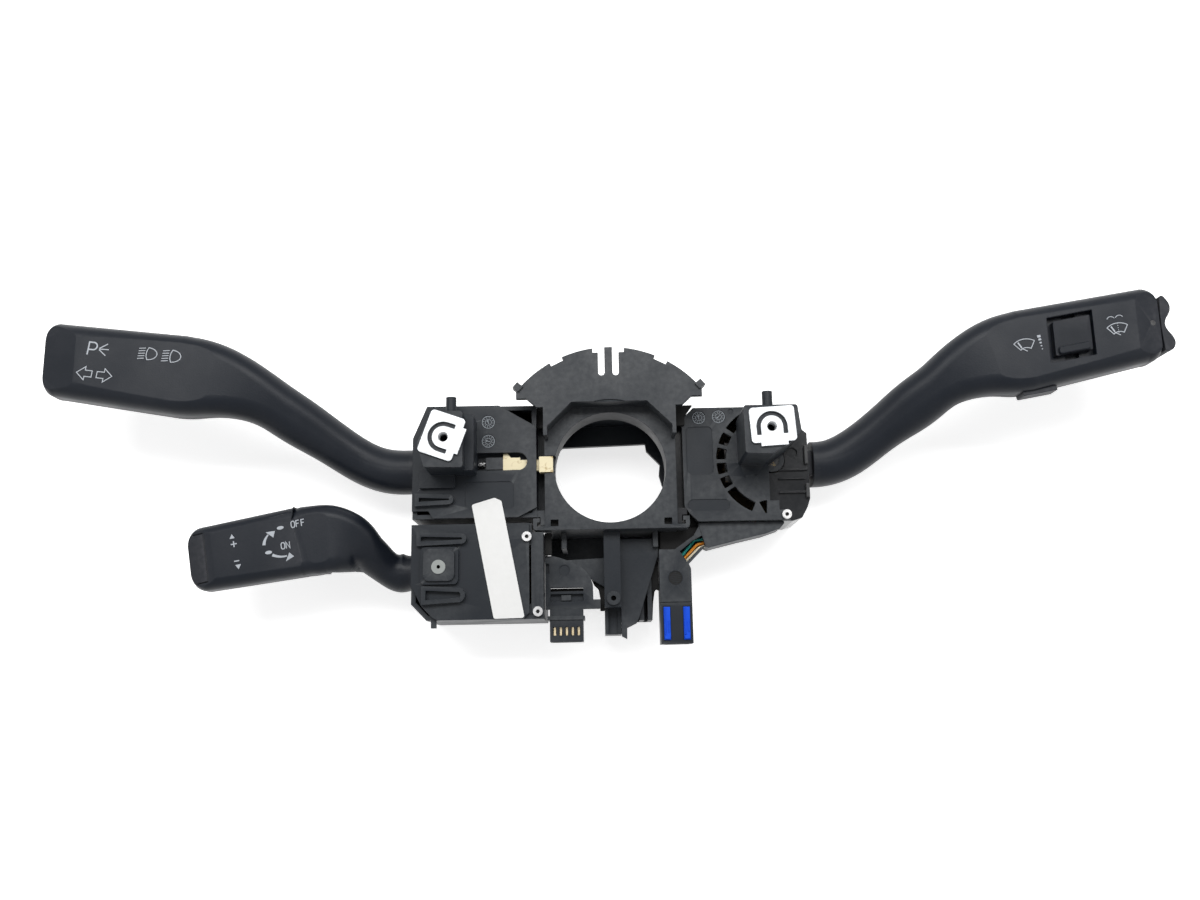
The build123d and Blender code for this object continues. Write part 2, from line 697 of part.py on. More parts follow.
with BuildPart() as indicator_housing:
    box_between(left_end, -cover_inner, indicator_bottom, indicator_top, rear_z, left_rim_z)
    box_between(left_end + module_wall, -cover_inner - module_wall,
                indicator_bottom + module_wall, indicator_top - module_wall,
                rear_z + module_floor, left_rim_z, mode=Mode.SUBTRACT)
    # Deep side block against the carrier's rail, and the corner tongue in its hook
    box_between(-cover_inner, -module_inner, indicator_bottom, carrier_top - 6, rear_z, rail_z)
    box_between(seat_gap - hook_lip, -module_inner, carrier_bottom + hook_width + seat_gap,
                indicator_bottom + 3, rail_z + 3, -1.0)
    box_between(-cover_inner - 2, -module_inner, indicator_bottom, indicator_bottom + 3,
                rail_z, -1.0)
    # Upper outer corner, cut back slanted
    plate_outline([(left_end, corner_cut_low - module_wall), (left_end, corner_cut_low),
                   (left_end + corner_cut, indicator_top),
                   (left_end + corner_cut + 2 * module_wall, indicator_top)],
                  rear_z, left_rim_z)
    plate_outline([(left_end - 1, corner_cut_low - 2), (left_end, corner_cut_low),
                   (left_end + corner_cut, indicator_top),
                   (left_end + corner_cut, indicator_top + 1), (left_end - 1, indicator_top + 1)],
                  rear_z - 1, left_rim_z + 1, mode=Mode.SUBTRACT)
    # Mouth for the stalk
    box_between(left_end - 1, left_end + module_wall + 1, upper_axis_y - mouth_half_y,
                upper_axis_y + mouth_half_y, axis_z - mouth_half_z, axis_z + mouth_half_z,
                mode=Mode.SUBTRACT)
    # Outlet for the cancel pawl at the bore side
    box_between(-cover_inner - module_wall - 1, -module_inner + 1,
                pawl_tip_y - pawl_tip_width / 2 - moving_gap,
                pawl_tip_y + pawl_tip_width / 2 + moving_gap,
                pawl_floor_z - moving_gap, left_rim_z, mode=Mode.SUBTRACT)
    # Lower bearing of the cradle, and ribs that carry the board
    lower_bearing(indicator_axis_x, upper_axis_y)
    for rib_y in (indicator_bottom + 10, indicator_top - 9):
        box_between(left_end + module_wall, -cover_inner - module_wall, rib_y - 1, rib_y + 1,
                    rear_z + module_floor, board_z)
finish(indicator_housing, "indicator_housing")

# Indicator switch: front cover with tower, post, pawl slot and snap loops
left_tower = [
    (-75.2, tower_upper_y), (-62.2, tower_upper_y), (-61.9, -3.0), (-78.3, -2.6), (-81.2, 7.7),
]
mid_block = [(-64.5, -2.8), (-58.2, -2.8), (-58.2, tower_upper_y), (-64.5, tower_upper_y)]
mid_block_top = 13.0
low_pad = [(-83.0, -8.5), (-67.4, -8.5), (-67.4, -1.0), (-83.0, -1.0)]
pad_top = 3.0
cover_chamfer = (cover_inner + cover_chamfer_x, indicator_top - cover_chamfer_y)
indicator_outline = [
    (left_end + corner_cut, indicator_top), (-cover_chamfer[0], indicator_top),
    (-cover_inner, cover_chamfer[1]), (-cover_inner, indicator_bottom + 4.2),
    (-cover_inner - 8, indicator_bottom), (-71.7, indicator_bottom),
    (-77.0, indicator_bottom), (-79.1, -18.2), (left_end, -18.2), (left_end, corner_cut_low),
]

with BuildPart() as indicator_cover:
    plate_outline(indicator_outline, left_rim_z, left_cover_front)
    plate_outline(left_tower, left_cover_front, tower_top, corner=1.2)
    plate_outline(mid_block, left_cover_front, mid_block_top, corner=0.9)
    plate_outline(low_pad, left_cover_front, pad_top, corner=0.9)
    locating_post(-1)
    screw_well(left_nut_x, left_nut_y)
    # Open slot over the cancel mechanism, round at its inner end
    with BuildSketch(Plane.XY.offset(left_rim_z)) as slot:
        with Locations(((slot_left + slot_right - slot_half) / 2, slot_y)):
            Rectangle(slot_right - slot_half - slot_left, 2 * slot_half)
        with Locations((slot_right - slot_half, slot_y)):
            Circle(slot_half)
    extrude(amount=left_cover_thickness, mode=Mode.SUBTRACT)
    # Channel under the slot, in which the cancel mechanism lies
    channel_low = pawl_floor_z - seat_gap - channel_floor
    channel_right = -cover_inner - module_wall - moving_gap
    box_between(slot_left - channel_floor, channel_right, slot_y - 8, slot_y + 7, channel_low,
                left_rim_z)
    box_between(slot_left, channel_right, slot_y - 5 - seat_gap, slot_y + 4 + seat_gap,
                pawl_floor_z - seat_gap, left_rim_z, mode=Mode.SUBTRACT)
    box_between(-75.5, -64.5, 10.5, 19.0, left_rim_z, 4.5, mode=Mode.SUBTRACT)
    upper_bearing(indicator_axis_x, upper_axis_y, left_rim_z)
    clip_loop(-84.7, -67.9, -10.7, -16.4, left_cover_front)
    shallow_disc(-53.2, 20.8, 3.0, left_cover_front)
    shallow_disc(-53.2, 12.3, 3.0, left_cover_front)
    shallow_panel(-63.2, -42.0, -17.8, -5.8, left_cover_front, 2.2)
finish(indicator_cover, "indicator_cover")

with BuildPart() as indicator_nut_plate:
    nut_plate(left_nut_x, left_nut_y, left_nut_angle)
finish(indicator_nut_plate, "indicator_nut_plate")

# Cancel mechanism in the open slot: pawl, slider block and spring
pawl_top_z = left_rim_z - seat_gap
pawl_thickness = pawl_top_z - pawl_floor_z
pawl_tip_end = -(bore_radius + 0.6)

with BuildPart() as cancel_pawl:
    # Tip beside the bore, bar under the cover, and the fork seen in the slot
    box_between(-cover_inner + 1.2, pawl_tip_end, pawl_tip_y - pawl_tip_width / 2,
                pawl_tip_y + pawl_tip_width / 2, pawl_floor_z, left_cover_front - 0.4)
    box_between(pawl_fork_right - 1, -cover_inner + 1.2, pawl_tip_y - 2.4, pawl_tip_y + 2.4,
                pawl_floor_z, pawl_top_z)
    plate_outline([
        (pawl_fork_left, slot_y + 3.7), (pawl_fork_left + 2.0, slot_y + 3.9),
        (pawl_fork_left + 3.4, slot_y + 2.0), (pawl_fork_right, slot_y + 2.0),
        (pawl_fork_right, slot_y - 3.4), (pawl_fork_left + 3.8, slot_y - 3.4),
        (pawl_fork_left + 2.2, slot_y - 5.0), (pawl_fork_left, slot_y - 4.8),
    ], pawl_floor_z, pawl_top_z)
finish(cancel_pawl, "cancel_pawl")

with BuildPart() as pawl_slider:
    box_between(slider_left, pawl_fork_left, slot_y - 3.2, slot_y + 2.2, pawl_floor_z, pawl_top_z)
    fillet(pawl_slider.edges().filter_by(Axis.Z), 0.5)
finish(pawl_slider, "pawl_slider")

# The pawl's spring pushes the slider away from the channel's end wall
with BuildPart() as pawl_spring:
    spring_coil((slot_left + spring_wire, slot_y - 0.6, (pawl_floor_z + pawl_top_z) / 2), (1, 0, 0),
                slider_left - slot_left - 2 * spring_wire, pawl_spring_turns, pawl_spring_radius)
finish(pawl_spring, "pawl_spring")


def tray(outline, z_low, z_high, floor, wall):
    """Open box from its outline, with a floor and walls of even thickness."""
    with BuildSketch(Plane.XY.offset(z_low)) as outer:
        Polygon(*outline, align=None)
    extrude(outer.sketch, amount=z_high - z_low)
    with BuildSketch(Plane.XY.offset(z_low + floor)) as inner:
        Polygon(*outline, align=None)
        offset(amount=-wall, kind=Kind.INTERSECTION, mode=Mode.REPLACE)
    extrude(inner.sketch, amount=z_high - z_low - floor, mode=Mode.SUBTRACT)


def mouth(end_x, y):
    """Opening in a housing's end wall through which the shank passes."""
    box_between(end_x - module_wall - 1, end_x + module_wall + 1, y - mouth_half_y,
                y + mouth_half_y, axis_z - mouth_half_z, axis_z + mouth_half_z,
                mode=Mode.SUBTRACT)


def split_back(frame, blank, length, width):
    """Back half of a paddle behind its parting plane, with a land that fits the front's hollow."""
    add(blank.part)
    frame_box(frame, shell_start, length + 30, -40, 40, parting_w - 40, parting_w - seam,
              mode=Mode.INTERSECT)
    frame_box(frame, hollow_wall + seat_gap, length - hollow_wall - 6 - seat_gap,
              seat_gap + hollow_wall - width / 2, width / 2 - hollow_wall - seat_gap,
              parting_w - seam - 1, parting_w + shell_land)


def split_front(frame, blank, length, width, thickness):
    """Arm and front half of a paddle, hollow behind its face."""
    add(blank.part)
    frame_box(frame, shell_start, length + 30, -40, 40, parting_w - 40, parting_w,
              mode=Mode.SUBTRACT)
    frame_box(frame, hollow_wall, length - hollow_wall - 6, hollow_wall - width / 2,
              width / 2 - hollow_wall, parting_w - 1, thickness / 2 - hollow_wall,
              mode=Mode.SUBTRACT)


# Indicator stalk
indicator_paddle = (35.9, 20.0)
indicator_length = 68.2
indicator_planes, indicator_growth, indicator_frame = stalk_frames(
    start=(left_neck_x, upper_axis_y, axis_z), outward=-1, neck_run=5.6, bend=32.7,
    bend_radius=39.2, diagonal=38.4, flare_radius=77.0, paddle_angle=7.6,
    rise=upper_paddle_z - axis_z, shoulder=8.5)
indicator_end = end_frame(indicator_frame, indicator_length, square=False)

with BuildPart() as indicator_blank:
    stalk_blank(indicator_planes, indicator_growth, indicator_end, neck=20.0,
                waist=(19.4, 19.2), flare=(22.2, 19.6), paddle_size=indicator_paddle,
                end_size=(33.2, 19.0), nose=(5.5, 4.0), ease=0.15)
    paddle_face(indicator_frame, indicator_end, indicator_paddle[1], 15.0)

with BuildPart() as indicator_stalk:
    split_front(indicator_frame, indicator_blank, indicator_length, *indicator_paddle)
    shank(indicator_axis_x, upper_axis_y, -1, left_neck_x)
finish(indicator_stalk, "indicator_stalk")

with BuildPart() as indicator_stalk_back:
    split_back(indicator_frame, indicator_blank, indicator_length, indicator_paddle[0])
finish(indicator_stalk_back, "indicator_stalk_back")

# Inner pieces of the indicator switch
with BuildPart() as indicator_cradle:
    cradle(indicator_axis_x, upper_axis_y)
finish(indicator_cradle, "indicator_cradle")

with BuildPart() as indicator_contact:
    contact_carriage(indicator_axis_x, upper_axis_y)
finish(indicator_contact, "indicator_contact")

with BuildPart() as indicator_tilt_pin:
    cross_pin(indicator_axis_x, upper_axis_y)
finish(indicator_tilt_pin, "indicator_tilt_pin")

with BuildPart() as indicator_plunger:
    plunger(indicator_axis_x, upper_axis_y, -1)
finish(indicator_plunger, "indicator_plunger")

with BuildPart() as indicator_plunger_spring:
    plunger_spring(indicator_axis_x, upper_axis_y, -1)
finish(indicator_plunger_spring, "indicator_plunger_spring")

with BuildPart() as indicator_detent_track:
    detent_track(indicator_axis_x, upper_axis_y, -1)
finish(indicator_detent_track, "indicator_detent_track")

with BuildPart() as indicator_board:
    board(left_end + module_wall, -cover_inner - module_wall, indicator_bottom + module_wall,
          indicator_top - module_wall, indicator_axis_x, upper_axis_y, -1)
    plate_outline([(left_end, corner_cut_low - 4 * module_wall), (left_end, indicator_top),
                   (left_end + corner_cut + 4 * module_wall, indicator_top)],
                  rear_z, axis_z, mode=Mode.SUBTRACT)
finish(indicator_board, "indicator_board")

# Cruise switch: housing with a side strip, cover with a pivot boss, bush
cruise_right = -29.6
strip_left = -34.8
strip_front = -0.2
cruise_housing_outline = [
    (left_end, cruise_top), (left_end, -58.0), (-79.5, cruise_bottom),
    (cruise_right, cruise_bottom), (cruise_right, carrier_bottom - 0.7),
    (-hook_half - 0.6, carrier_bottom - 0.7), (-hook_half - 0.6, cruise_top),
]
cruise_cover_outline = [
    (left_end, cruise_top), (left_end, -50.0), (-81.5, -59.0), (-77.4, -63.4), (-74.8, cruise_bottom),
    (-38.3, cruise_bottom), (-35.6, -62.5), (-35.6, cruise_top),
]
first_screw = (-36.5, -30.1)
second_screw = (-32.0, -62.0)
third_screw = (76.8, -21.6)
pivot_base = [(-82.0, -50.0), (-65.7, -50.0), (-65.7, -34.0), (-82.0, -34.0)]
pivot_front = [(-80.6, -48.6), (-67.3, -48.6), (-67.3, -34.8), (-80.6, -34.8)]
pivot_top = 3.8
bush_radius = 3.0
bush_hole = 0.8


def screw_hole(spot, z_head):
    """Hole for a cover screw below its head."""
    with Locations((*spot, z_head - screw_length / 2)):
        Cylinder(screw_shank_radius + running_gap, screw_length + 0.6, mode=Mode.SUBTRACT)


with BuildPart() as cruise_housing:
    tray(cruise_housing_outline, rear_z, left_rim_z, module_floor, module_wall)
    # Raised strip beside the cover, and blocks that take the screws
    box_between(strip_left, cruise_right, cruise_bottom + 2.2, cruise_top - 3.9, -8.0, left_rim_z)
    box_between(strip_left, cruise_right, cruise_bottom + 2.2, cruise_top - 3.9, left_rim_z,
                strip_front)
    box_between(first_screw[0] - 3.0, strip_left, first_screw[1] - 3.4, first_screw[1] + 3.4,
                -14.0, left_rim_z)
    box_between(second_screw[0] - 3.6, cruise_right, cruise_bottom, second_screw[1] + 3.4,
                -14.0, left_rim_z)
    # Peg at the foot
    box_between(-77.6, -75.4, cruise_bottom - 3.2, cruise_bottom, -3.0, left_rim_z)
    mouth(left_end, cruise_axis_y)
    lower_bearing(cruise_axis_x, cruise_axis_y)
    for rib_y in (cruise_bottom + 8, cruise_top - 8):
        box_between(left_end + 8, cruise_right - module_wall, rib_y - 1, rib_y + 1,
                    rear_z + module_floor, board_z)
    screw_hole(first_screw, left_cover_front)
    screw_hole(second_screw, strip_front)
finish(cruise_housing, "cruise_housing")

with BuildPart() as cruise_cover:
    plate_outline(cruise_cover_outline, left_rim_z, left_cover_front)
    plate_outline(pivot_base, left_cover_front, pivot_top - 1.2, corner=2.0)
    plate_outline(pivot_front, pivot_top - 1.2, pivot_top, corner=2.6)
    upper_bearing(cruise_axis_x, cruise_axis_y, left_rim_z)
    with Locations((cruise_axis_x, cruise_axis_y, pivot_top - 6)):
        Cylinder(bush_radius, 18.0, mode=Mode.SUBTRACT)
    with Locations((cruise_axis_x, cruise_axis_y, bearing_low + bearing_depth / 2)):
        Cylinder(trunnion_radius + running_gap, bearing_depth, mode=Mode.SUBTRACT)
    clip_loop(-83.6, -62.2, -27.6, -33.6, left_cover_front)
    clip_loop(-81.3, -62.7, -50.6, -58.6, left_cover_front)
    screw_hole(first_screw, left_cover_front)
finish(cruise_cover, "cruise_cover")

with BuildPart() as cruise_bush:
    bush_low = bearing_low + bearing_depth + seat_gap
    with Locations((cruise_axis_x, cruise_axis_y, (bush_low + pivot_top + 0.4) / 2)):
        Cylinder(bush_radius, pivot_top + 0.4 - bush_low)
        Cylinder(bush_hole, pivot_top + 0.4 - bush_low, mode=Mode.SUBTRACT)
finish(cruise_bush, "cruise_bush")

# Cruise stalk with the set button in its end
cruise_paddle = (30.2, 16.5)
cruise_length = 57.2
button_depth = 8.0
button_half = 10.3
button_half_w = 4.5
button_travel = 1.5
button_lip = 1.2
button_seam = 0.4
cruise_planes, cruise_growth, cruise_frame = stalk_frames(
    start=(left_neck_x, cruise_axis_y, axis_z), outward=-1, neck_run=4.1, bend=43.2,
    bend_radius=14.5, diagonal=7.6, flare_radius=20.0, paddle_angle=-9.6,
    rise=cruise_paddle_z - axis_z, shoulder=10.0)
cruise_end = end_frame(cruise_frame, cruise_length)
cruise_face = cruise_paddle[1] / 2 - face_relief
button_inner = cruise_length - button_depth

with BuildPart() as cruise_full:
    stalk_blank(cruise_planes, cruise_growth, cruise_end, neck=16.6, waist=(15.2, 15.0),
                flare=(17.0, 15.5), paddle_size=cruise_paddle, end_size=(27.8, 16.0),
                nose=(6.5, 3.5), ease=1.0)
    paddle_face(cruise_frame, cruise_end, cruise_paddle[1], 11.0)

with BuildPart() as set_button:
    add(cruise_full.part)
    frame_box(cruise_frame, button_inner, 80, -button_half, button_half, -button_half_w,
              cruise_face - button_lip, mode=Mode.INTERSECT)
finish(set_button, "set_button")

with BuildPart() as cruise_blank:
    add(cruise_full.part)
    frame_box(cruise_frame, button_inner - button_travel - moving_gap, 80,
              -button_half - moving_gap, button_half + moving_gap, -button_half_w - moving_gap,
              cruise_face - button_lip + seat_gap, mode=Mode.SUBTRACT)
    frame_box(cruise_frame, button_inner + button_seam, 80, -button_half - moving_gap,
              button_half + moving_gap, 0, 20, mode=Mode.SUBTRACT)

with BuildPart() as cruise_stalk:
    split_front(cruise_frame, cruise_blank, button_inner, *cruise_paddle)
    shank(cruise_axis_x, cruise_axis_y, -1, left_neck_x)
finish(cruise_stalk, "cruise_stalk")

with BuildPart() as cruise_stalk_back:
    split_back(cruise_frame, cruise_blank, button_inner, cruise_paddle[0])
finish(cruise_stalk_back, "cruise_stalk_back")

# Inner pieces of the cruise switch
with BuildPart() as cruise_cradle:
    cradle(cruise_axis_x, cruise_axis_y)
finish(cruise_cradle, "cruise_cradle")

with BuildPart() as cruise_contact:
    contact_carriage(cruise_axis_x, cruise_axis_y)
finish(cruise_contact, "cruise_contact")

with BuildPart() as cruise_tilt_pin:
    cross_pin(cruise_axis_x, cruise_axis_y)
finish(cruise_tilt_pin, "cruise_tilt_pin")

with BuildPart() as cruise_plunger:
    plunger(cruise_axis_x, cruise_axis_y, -1)
finish(cruise_plunger, "cruise_plunger")

with BuildPart() as cruise_plunger_spring:
    plunger_spring(cruise_axis_x, cruise_axis_y, -1)
finish(cruise_plunger_spring, "cruise_plunger_spring")

with BuildPart() as cruise_detent_track:
    detent_track(cruise_axis_x, cruise_axis_y, -1)
finish(cruise_detent_track, "cruise_detent_track")

with BuildPart() as cruise_board:
    board(left_end + 8, strip_left - module_wall, cruise_bottom + module_wall,
          cruise_top - module_wall, cruise_axis_x, cruise_axis_y, -1)
finish(cruise_board, "cruise_board")

# Wiper switch: housing with an end block, and the side block against the carrier
end_block_front = -9.5
end_block_thickness = 2.2
wiper_housing_outline = [
    (cover_inner, 22.0), (cover_inner, -17.0), (34.5, -20.4), (38.2, wiper_bottom),
    (80.1, wiper_bottom), (84.2, -22.6), (86.8, -18.0), (right_end, -14.0), (right_end, 15.5),
    (81.5, 21.0), (81.5, wiper_top), (37.4, wiper_top),
]
roof_outline = [
    (wiper_cover_right, wiper_bottom), (80.1, wiper_bottom), (84.2, -22.6), (86.8, -18.0),
    (right_end, -14.0), (right_end, 15.5), (81.5, 21.0), (wiper_cover_right, 21.0),
]

with BuildPart() as wiper_housing:
    tray(wiper_housing_outline, rear_z, wiper_rim_z, module_floor, module_wall)
    # The end block's roof lies lower than the cover
    box_between(wiper_cover_right + 4, right_end + 1, -40, 40, end_block_front, wiper_rim_z,
                mode=Mode.SUBTRACT)
    plate_outline(roof_outline, end_block_front - end_block_thickness, end_block_front)
    box_between(cover_inner, module_inner, wiper_bottom + 2.4, carrier_top - 6, rear_z, rail_z)
    # Corner tongue in its hook
    box_between(module_inner, cover_inner + 0.6, -21.5, -18.5, rail_z, -1.0)
    box_between(module_inner, hook_lip - seat_gap, carrier_bottom + hook_width + seat_gap, -18.5,
                rail_z + 3, -1.0)
    with Locations((wiper_axis_x, upper_axis_y, end_block_front)):
        Cylinder(bearing_outer + moving_gap, 8.0, mode=Mode.SUBTRACT)
    # Raised ribs and a round mark on the end block
    box_between(76.0, right_end - 0.6, -1.5, -0.5, end_block_front, end_block_front + 1.0)
    box_between(74.8, right_end - 1.4, -11.6, -10.6, end_block_front, end_block_front + 1.0)
    with Locations((81.2, 6.6, end_block_front)):
        Cylinder(2.3, 2.0, mode=Mode.SUBTRACT)
    # Window for the wires in the lower wall
    box_between(61.0, 69.0, wiper_bottom - 1, wiper_bottom + module_wall + 1, -20.0, -10.4,
                mode=Mode.SUBTRACT)
    mouth(right_end, upper_axis_y)
    lower_bearing(wiper_axis_x, upper_axis_y)
    for rib_y in (wiper_bottom + 8, wiper_top - 9):
        box_between(cover_inner + module_wall, 81.5 - module_wall, rib_y - 1, rib_y + 1,
                    rear_z + module_floor, board_z)
    with Locations((*third_screw[:2], end_block_front - 3.5)):
        Cylinder(2.3, 7.0)
    screw_hole(third_screw, wiper_cover_front)
finish(wiper_housing, "wiper_housing")

# Wiper switch: cover with tower, post and the fan of arc slots
right_tower = [
    (56.4, tower_upper_y), (56.6, 0.8), (68.0, 0.4), (76.5, 5.6), (80.5, 10.0),
    (79.2, tower_upper_y),
]
wiper_cover_outline = [
    (cover_inner, 22.0), (cover_inner, -17.0), (34.5, -20.4), (38.2, wiper_bottom),
    (78.6, wiper_bottom), (78.6, -19.4), (wiper_cover_right + 3.9, -19.4),
    (wiper_cover_right + 3.9, -15.2), (wiper_cover_right, -15.2), (wiper_cover_right, 0.6),
    (76.5, 5.6), (81.5, 11.0), (81.5, wiper_top), (37.4, wiper_top),
]
fan_radius = 22.85
fan_width = 4.3
fan_sectors = [(123, 144), (149, 162), (166, 178.5), (182.5, 194.5), (198.5, 210), (214, 246)]


def ring_slot(x, y, low, high):
    """Slot through the wiper cover between two angles of a ring."""
    far = 2 * fan_radius
    with BuildSketch(Plane((x, y, wiper_rim_z))) as sector:
        Circle(fan_radius + fan_width / 2)
        Circle(fan_radius - fan_width / 2, mode=Mode.SUBTRACT)
        Polygon((0, 0), (far * cos(radians(low)), far * sin(radians(low))),
                (far * cos(radians(high)), far * sin(radians(high))), align=None,
                mode=Mode.INTERSECT)
        fillet(sector.vertices(), 0.5)
    extrude(sector.sketch, amount=wiper_cover_thickness, mode=Mode.SUBTRACT)


with BuildPart() as wiper_cover:
    plate_outline(wiper_cover_outline, wiper_rim_z, wiper_cover_front)
    plate_outline(right_tower, wiper_cover_front, tower_top, corner=1.2)
    locating_post(1)
    screw_well(right_nut_x, right_nut_y)
    upper_bearing(wiper_axis_x, upper_axis_y, wiper_rim_z)
    # Hollows under the tower
    box_between(58.6, 65.2, 3.0, 19.2, wiper_rim_z, 4.5, mode=Mode.SUBTRACT)
    box_between(68.0, 77.6, 12.0, 19.2, wiper_rim_z, 4.5, mode=Mode.SUBTRACT)
    # Fan of slots about the stalk's axis
    for low, high in fan_sectors:
        ring_slot(wiper_axis_x, upper_axis_y - 0.4, low, high)
    plate_outline([(65.0, -15.8), (68.6, -14.9), (68.2, -22.0)], wiper_rim_z, wiper_cover_front,
                  mode=Mode.SUBTRACT, corner=0.4)
    # Date wheels, marks and recesses
    shallow_disc(39.9, 22.7, 3.0, wiper_cover_front)
    shallow_disc(48.7, 23.0, 3.0, wiper_cover_front)
    shallow_disc(54.2, 25.2, 1.2, wiper_cover_front)
    shallow_disc(59.2, -4.4, 0.6, wiper_cover_front)
    shallow_disc(64.1, -3.7, 0.6, wiper_cover_front)
    shallow_panel(34.0, 45.6, -3.1, 18.5, wiper_cover_front, 2.2)
    shallow_panel(33.9, 52.0, -19.2, -14.2, wiper_cover_front, 2.2)
    screw_hole(third_screw, wiper_cover_front)
finish(wiper_cover, "wiper_cover")

with BuildPart() as wiper_nut_plate:
    nut_plate(right_nut_x, right_nut_y, right_nut_angle)
finish(wiper_nut_plate, "wiper_nut_plate")

# Wiper stalk: paddle with a slider window, an end rocker and a push button below
wiper_paddle = (37.0, 20.0)
wiper_length = 69.0
wiper_nose = (7.0, 4.0)
wiper_nose_angle = 60
wiper_planes, wiper_growth, wiper_frame = stalk_frames(
    start=(right_neck_x, upper_axis_y, axis_z), outward=1, neck_run=1.2, bend=35.3,
    bend_radius=33.7, diagonal=42.0, flare_radius=67.3, paddle_angle=9.9,
    rise=upper_paddle_z - axis_z, shoulder=8.0)
# The nose stops at the rocker's seam, so its full length would reach a little further
nose_rest = wiper_nose[0] * (1 - sin(radians(wiper_nose_angle)))
wiper_seam = end_frame(wiper_frame, wiper_length, square=False)
wiper_end = Plane(wiper_seam.origin + wiper_seam.x_dir * nose_rest, x_dir=wiper_seam.x_dir,
                  z_dir=(0, 0, 1))
wiper_face = wiper_paddle[1] / 2 - face_relief
window_left = 17.9
window_right = 38.3
window_low = -8.9
window_high = 11.1
window_depth = 3.6
slider_left_u = 20.6
slider_right_u = 37.2
slider_low = -6.2
slider_high = 9.2
slider_sink = 0.4
bar_low = -6.0
bar_high = -2.6
bar_inset = 1.2
bar_rise = 1.4
guide_half = 3.0
guide_middle = (slider_left_u + slider_right_u) / 2
guide_depth = 2.0
rocker_pivot = -3.4
rocker_hole_half = 7.5
rocker_body_half = 5.6
rocker_half_w = 6.0
rocker_pin_radius = 1.2
rocker_pin_half = 7.8
rocker_outline = [
    (0.6, 4.0), (1.1, 12.2), (2.0, 12.7), (3.9, 11.0), (5.2, 8.0), (4.6, 4.8), (2.6, 1.4),
    (2.5, -1.8), (4.6, -5.2), (5.8, -8.2), (5.1, -11.0), (2.4, -12.6), (1.1, -12.2),
    (0.6, -4.0),
]
reset_inner = 3.2
reset_outer = 18.4
reset_face_v = -19.9
reset_back_v = -13.6
reset_half_w = 4.0
reset_travel = 1.0

with BuildPart() as wiper_blank:
    stalk_blank(wiper_planes, wiper_growth, wiper_end, neck=20.6, waist=(20.2, 19.6),
                flare=(22.6, 19.6), paddle_size=wiper_paddle, end_size=(33.8, 19.2),
                nose=wiper_nose, ease=0.3, last_angle=wiper_nose_angle)
    paddle_face(wiper_frame, wiper_end, wiper_paddle[1], 12.0)
    # Window with its guide groove
    leaning_block(wiper_frame, window_left, window_right, window_low, window_high,
                  wiper_face - window_depth, 20, mode=Mode.SUBTRACT)
    leaning_block(wiper_frame, guide_middle - guide_half - running_gap,
                  guide_middle + guide_half + running_gap, window_low, window_high,
                  wiper_face - window_depth - guide_depth, 20, mode=Mode.SUBTRACT)
    # Pocket and pin bore for the rocker
    frame_box(wiper_seam, rocker_pivot - 4.8, 20, -rocker_hole_half, rocker_hole_half,
              -rocker_half_w - moving_gap, rocker_half_w + moving_gap, mode=Mode.SUBTRACT)
    with Locations(on_frame(wiper_seam, rocker_pivot, 0, 0)):
        Cylinder(rocker_pin_radius + running_gap, 2 * rocker_pin_half + 2 * seat_gap,
                 mode=Mode.SUBTRACT)
    # Pocket for the push button
    frame_box(wiper_frame, reset_inner - seat_gap, reset_outer + seat_gap, -30,
              reset_back_v + reset_travel + moving_gap, -reset_half_w - seat_gap,
              reset_half_w + seat_gap, mode=Mode.SUBTRACT)

with BuildPart() as wiper_stalk:
    add(wiper_blank.part)
    frame_box(wiper_frame, shell_start, 90, -40, 40, parting_w - 40, parting_w,
              mode=Mode.SUBTRACT)
    shank(wiper_axis_x, upper_axis_y, 1, right_neck_x)
finish(wiper_stalk, "wiper_stalk")

with BuildPart() as wiper_stalk_back:
    add(wiper_blank.part)
    frame_box(wiper_frame, shell_start, 90, -40, 40, parting_w - 40, parting_w - seam,
              mode=Mode.INTERSECT)
finish(wiper_stalk_back, "wiper_stalk_back")

# The slider's pad lies just under the panel, with one raised bar for the finger
with BuildPart() as interval_slider:
    slider_base = wiper_face - window_depth + seat_gap
    pad_top_w = wiper_face - slider_sink
    leaning_block(wiper_frame, slider_left_u, slider_right_u, slider_low, slider_high,
                  slider_base, pad_top_w, corner=0.8)
    leaning_block(wiper_frame, guide_middle - guide_half, guide_middle + guide_half, slider_low,
                  slider_high, slider_base - guide_depth, slider_base)
    leaning_block(wiper_frame, slider_left_u + bar_inset, slider_right_u - bar_inset, bar_low,
                  bar_high, pad_top_w, pad_top_w + bar_rise, corner=1.2)
    fillet(interval_slider.faces().sort_by(Axis.Z)[-1].edges(), 0.6)
finish(interval_slider, "interval_slider")

with BuildPart() as trip_rocker:
    with BuildSketch(wiper_seam.offset(-rocker_half_w - 1)) as wave:
        with BuildLine():
            Polyline(rocker_outline[-1], rocker_outline[0], rocker_outline[1])
            Spline(*rocker_outline[1:-1])
            Line(rocker_outline[-2], rocker_outline[-1])
        make_face()
    extrude(wave.sketch, amount=2 * rocker_half_w + 2)
    frame_box(wiper_seam, rocker_pivot - 2.6, 1.7, -rocker_body_half, rocker_body_half,
              -rocker_half_w, rocker_half_w)
    with Locations(on_frame(wiper_seam, rocker_pivot, 0, 0)):
        Cylinder(rocker_pin_radius + running_gap, 30, mode=Mode.SUBTRACT)
finish(trip_rocker, "trip_rocker")

with BuildPart() as trip_rocker_pin:
    with Locations(on_frame(wiper_seam, rocker_pivot, 0, 0)):
        Cylinder(rocker_pin_radius, 2 * rocker_pin_half)
finish(trip_rocker_pin, "trip_rocker_pin")

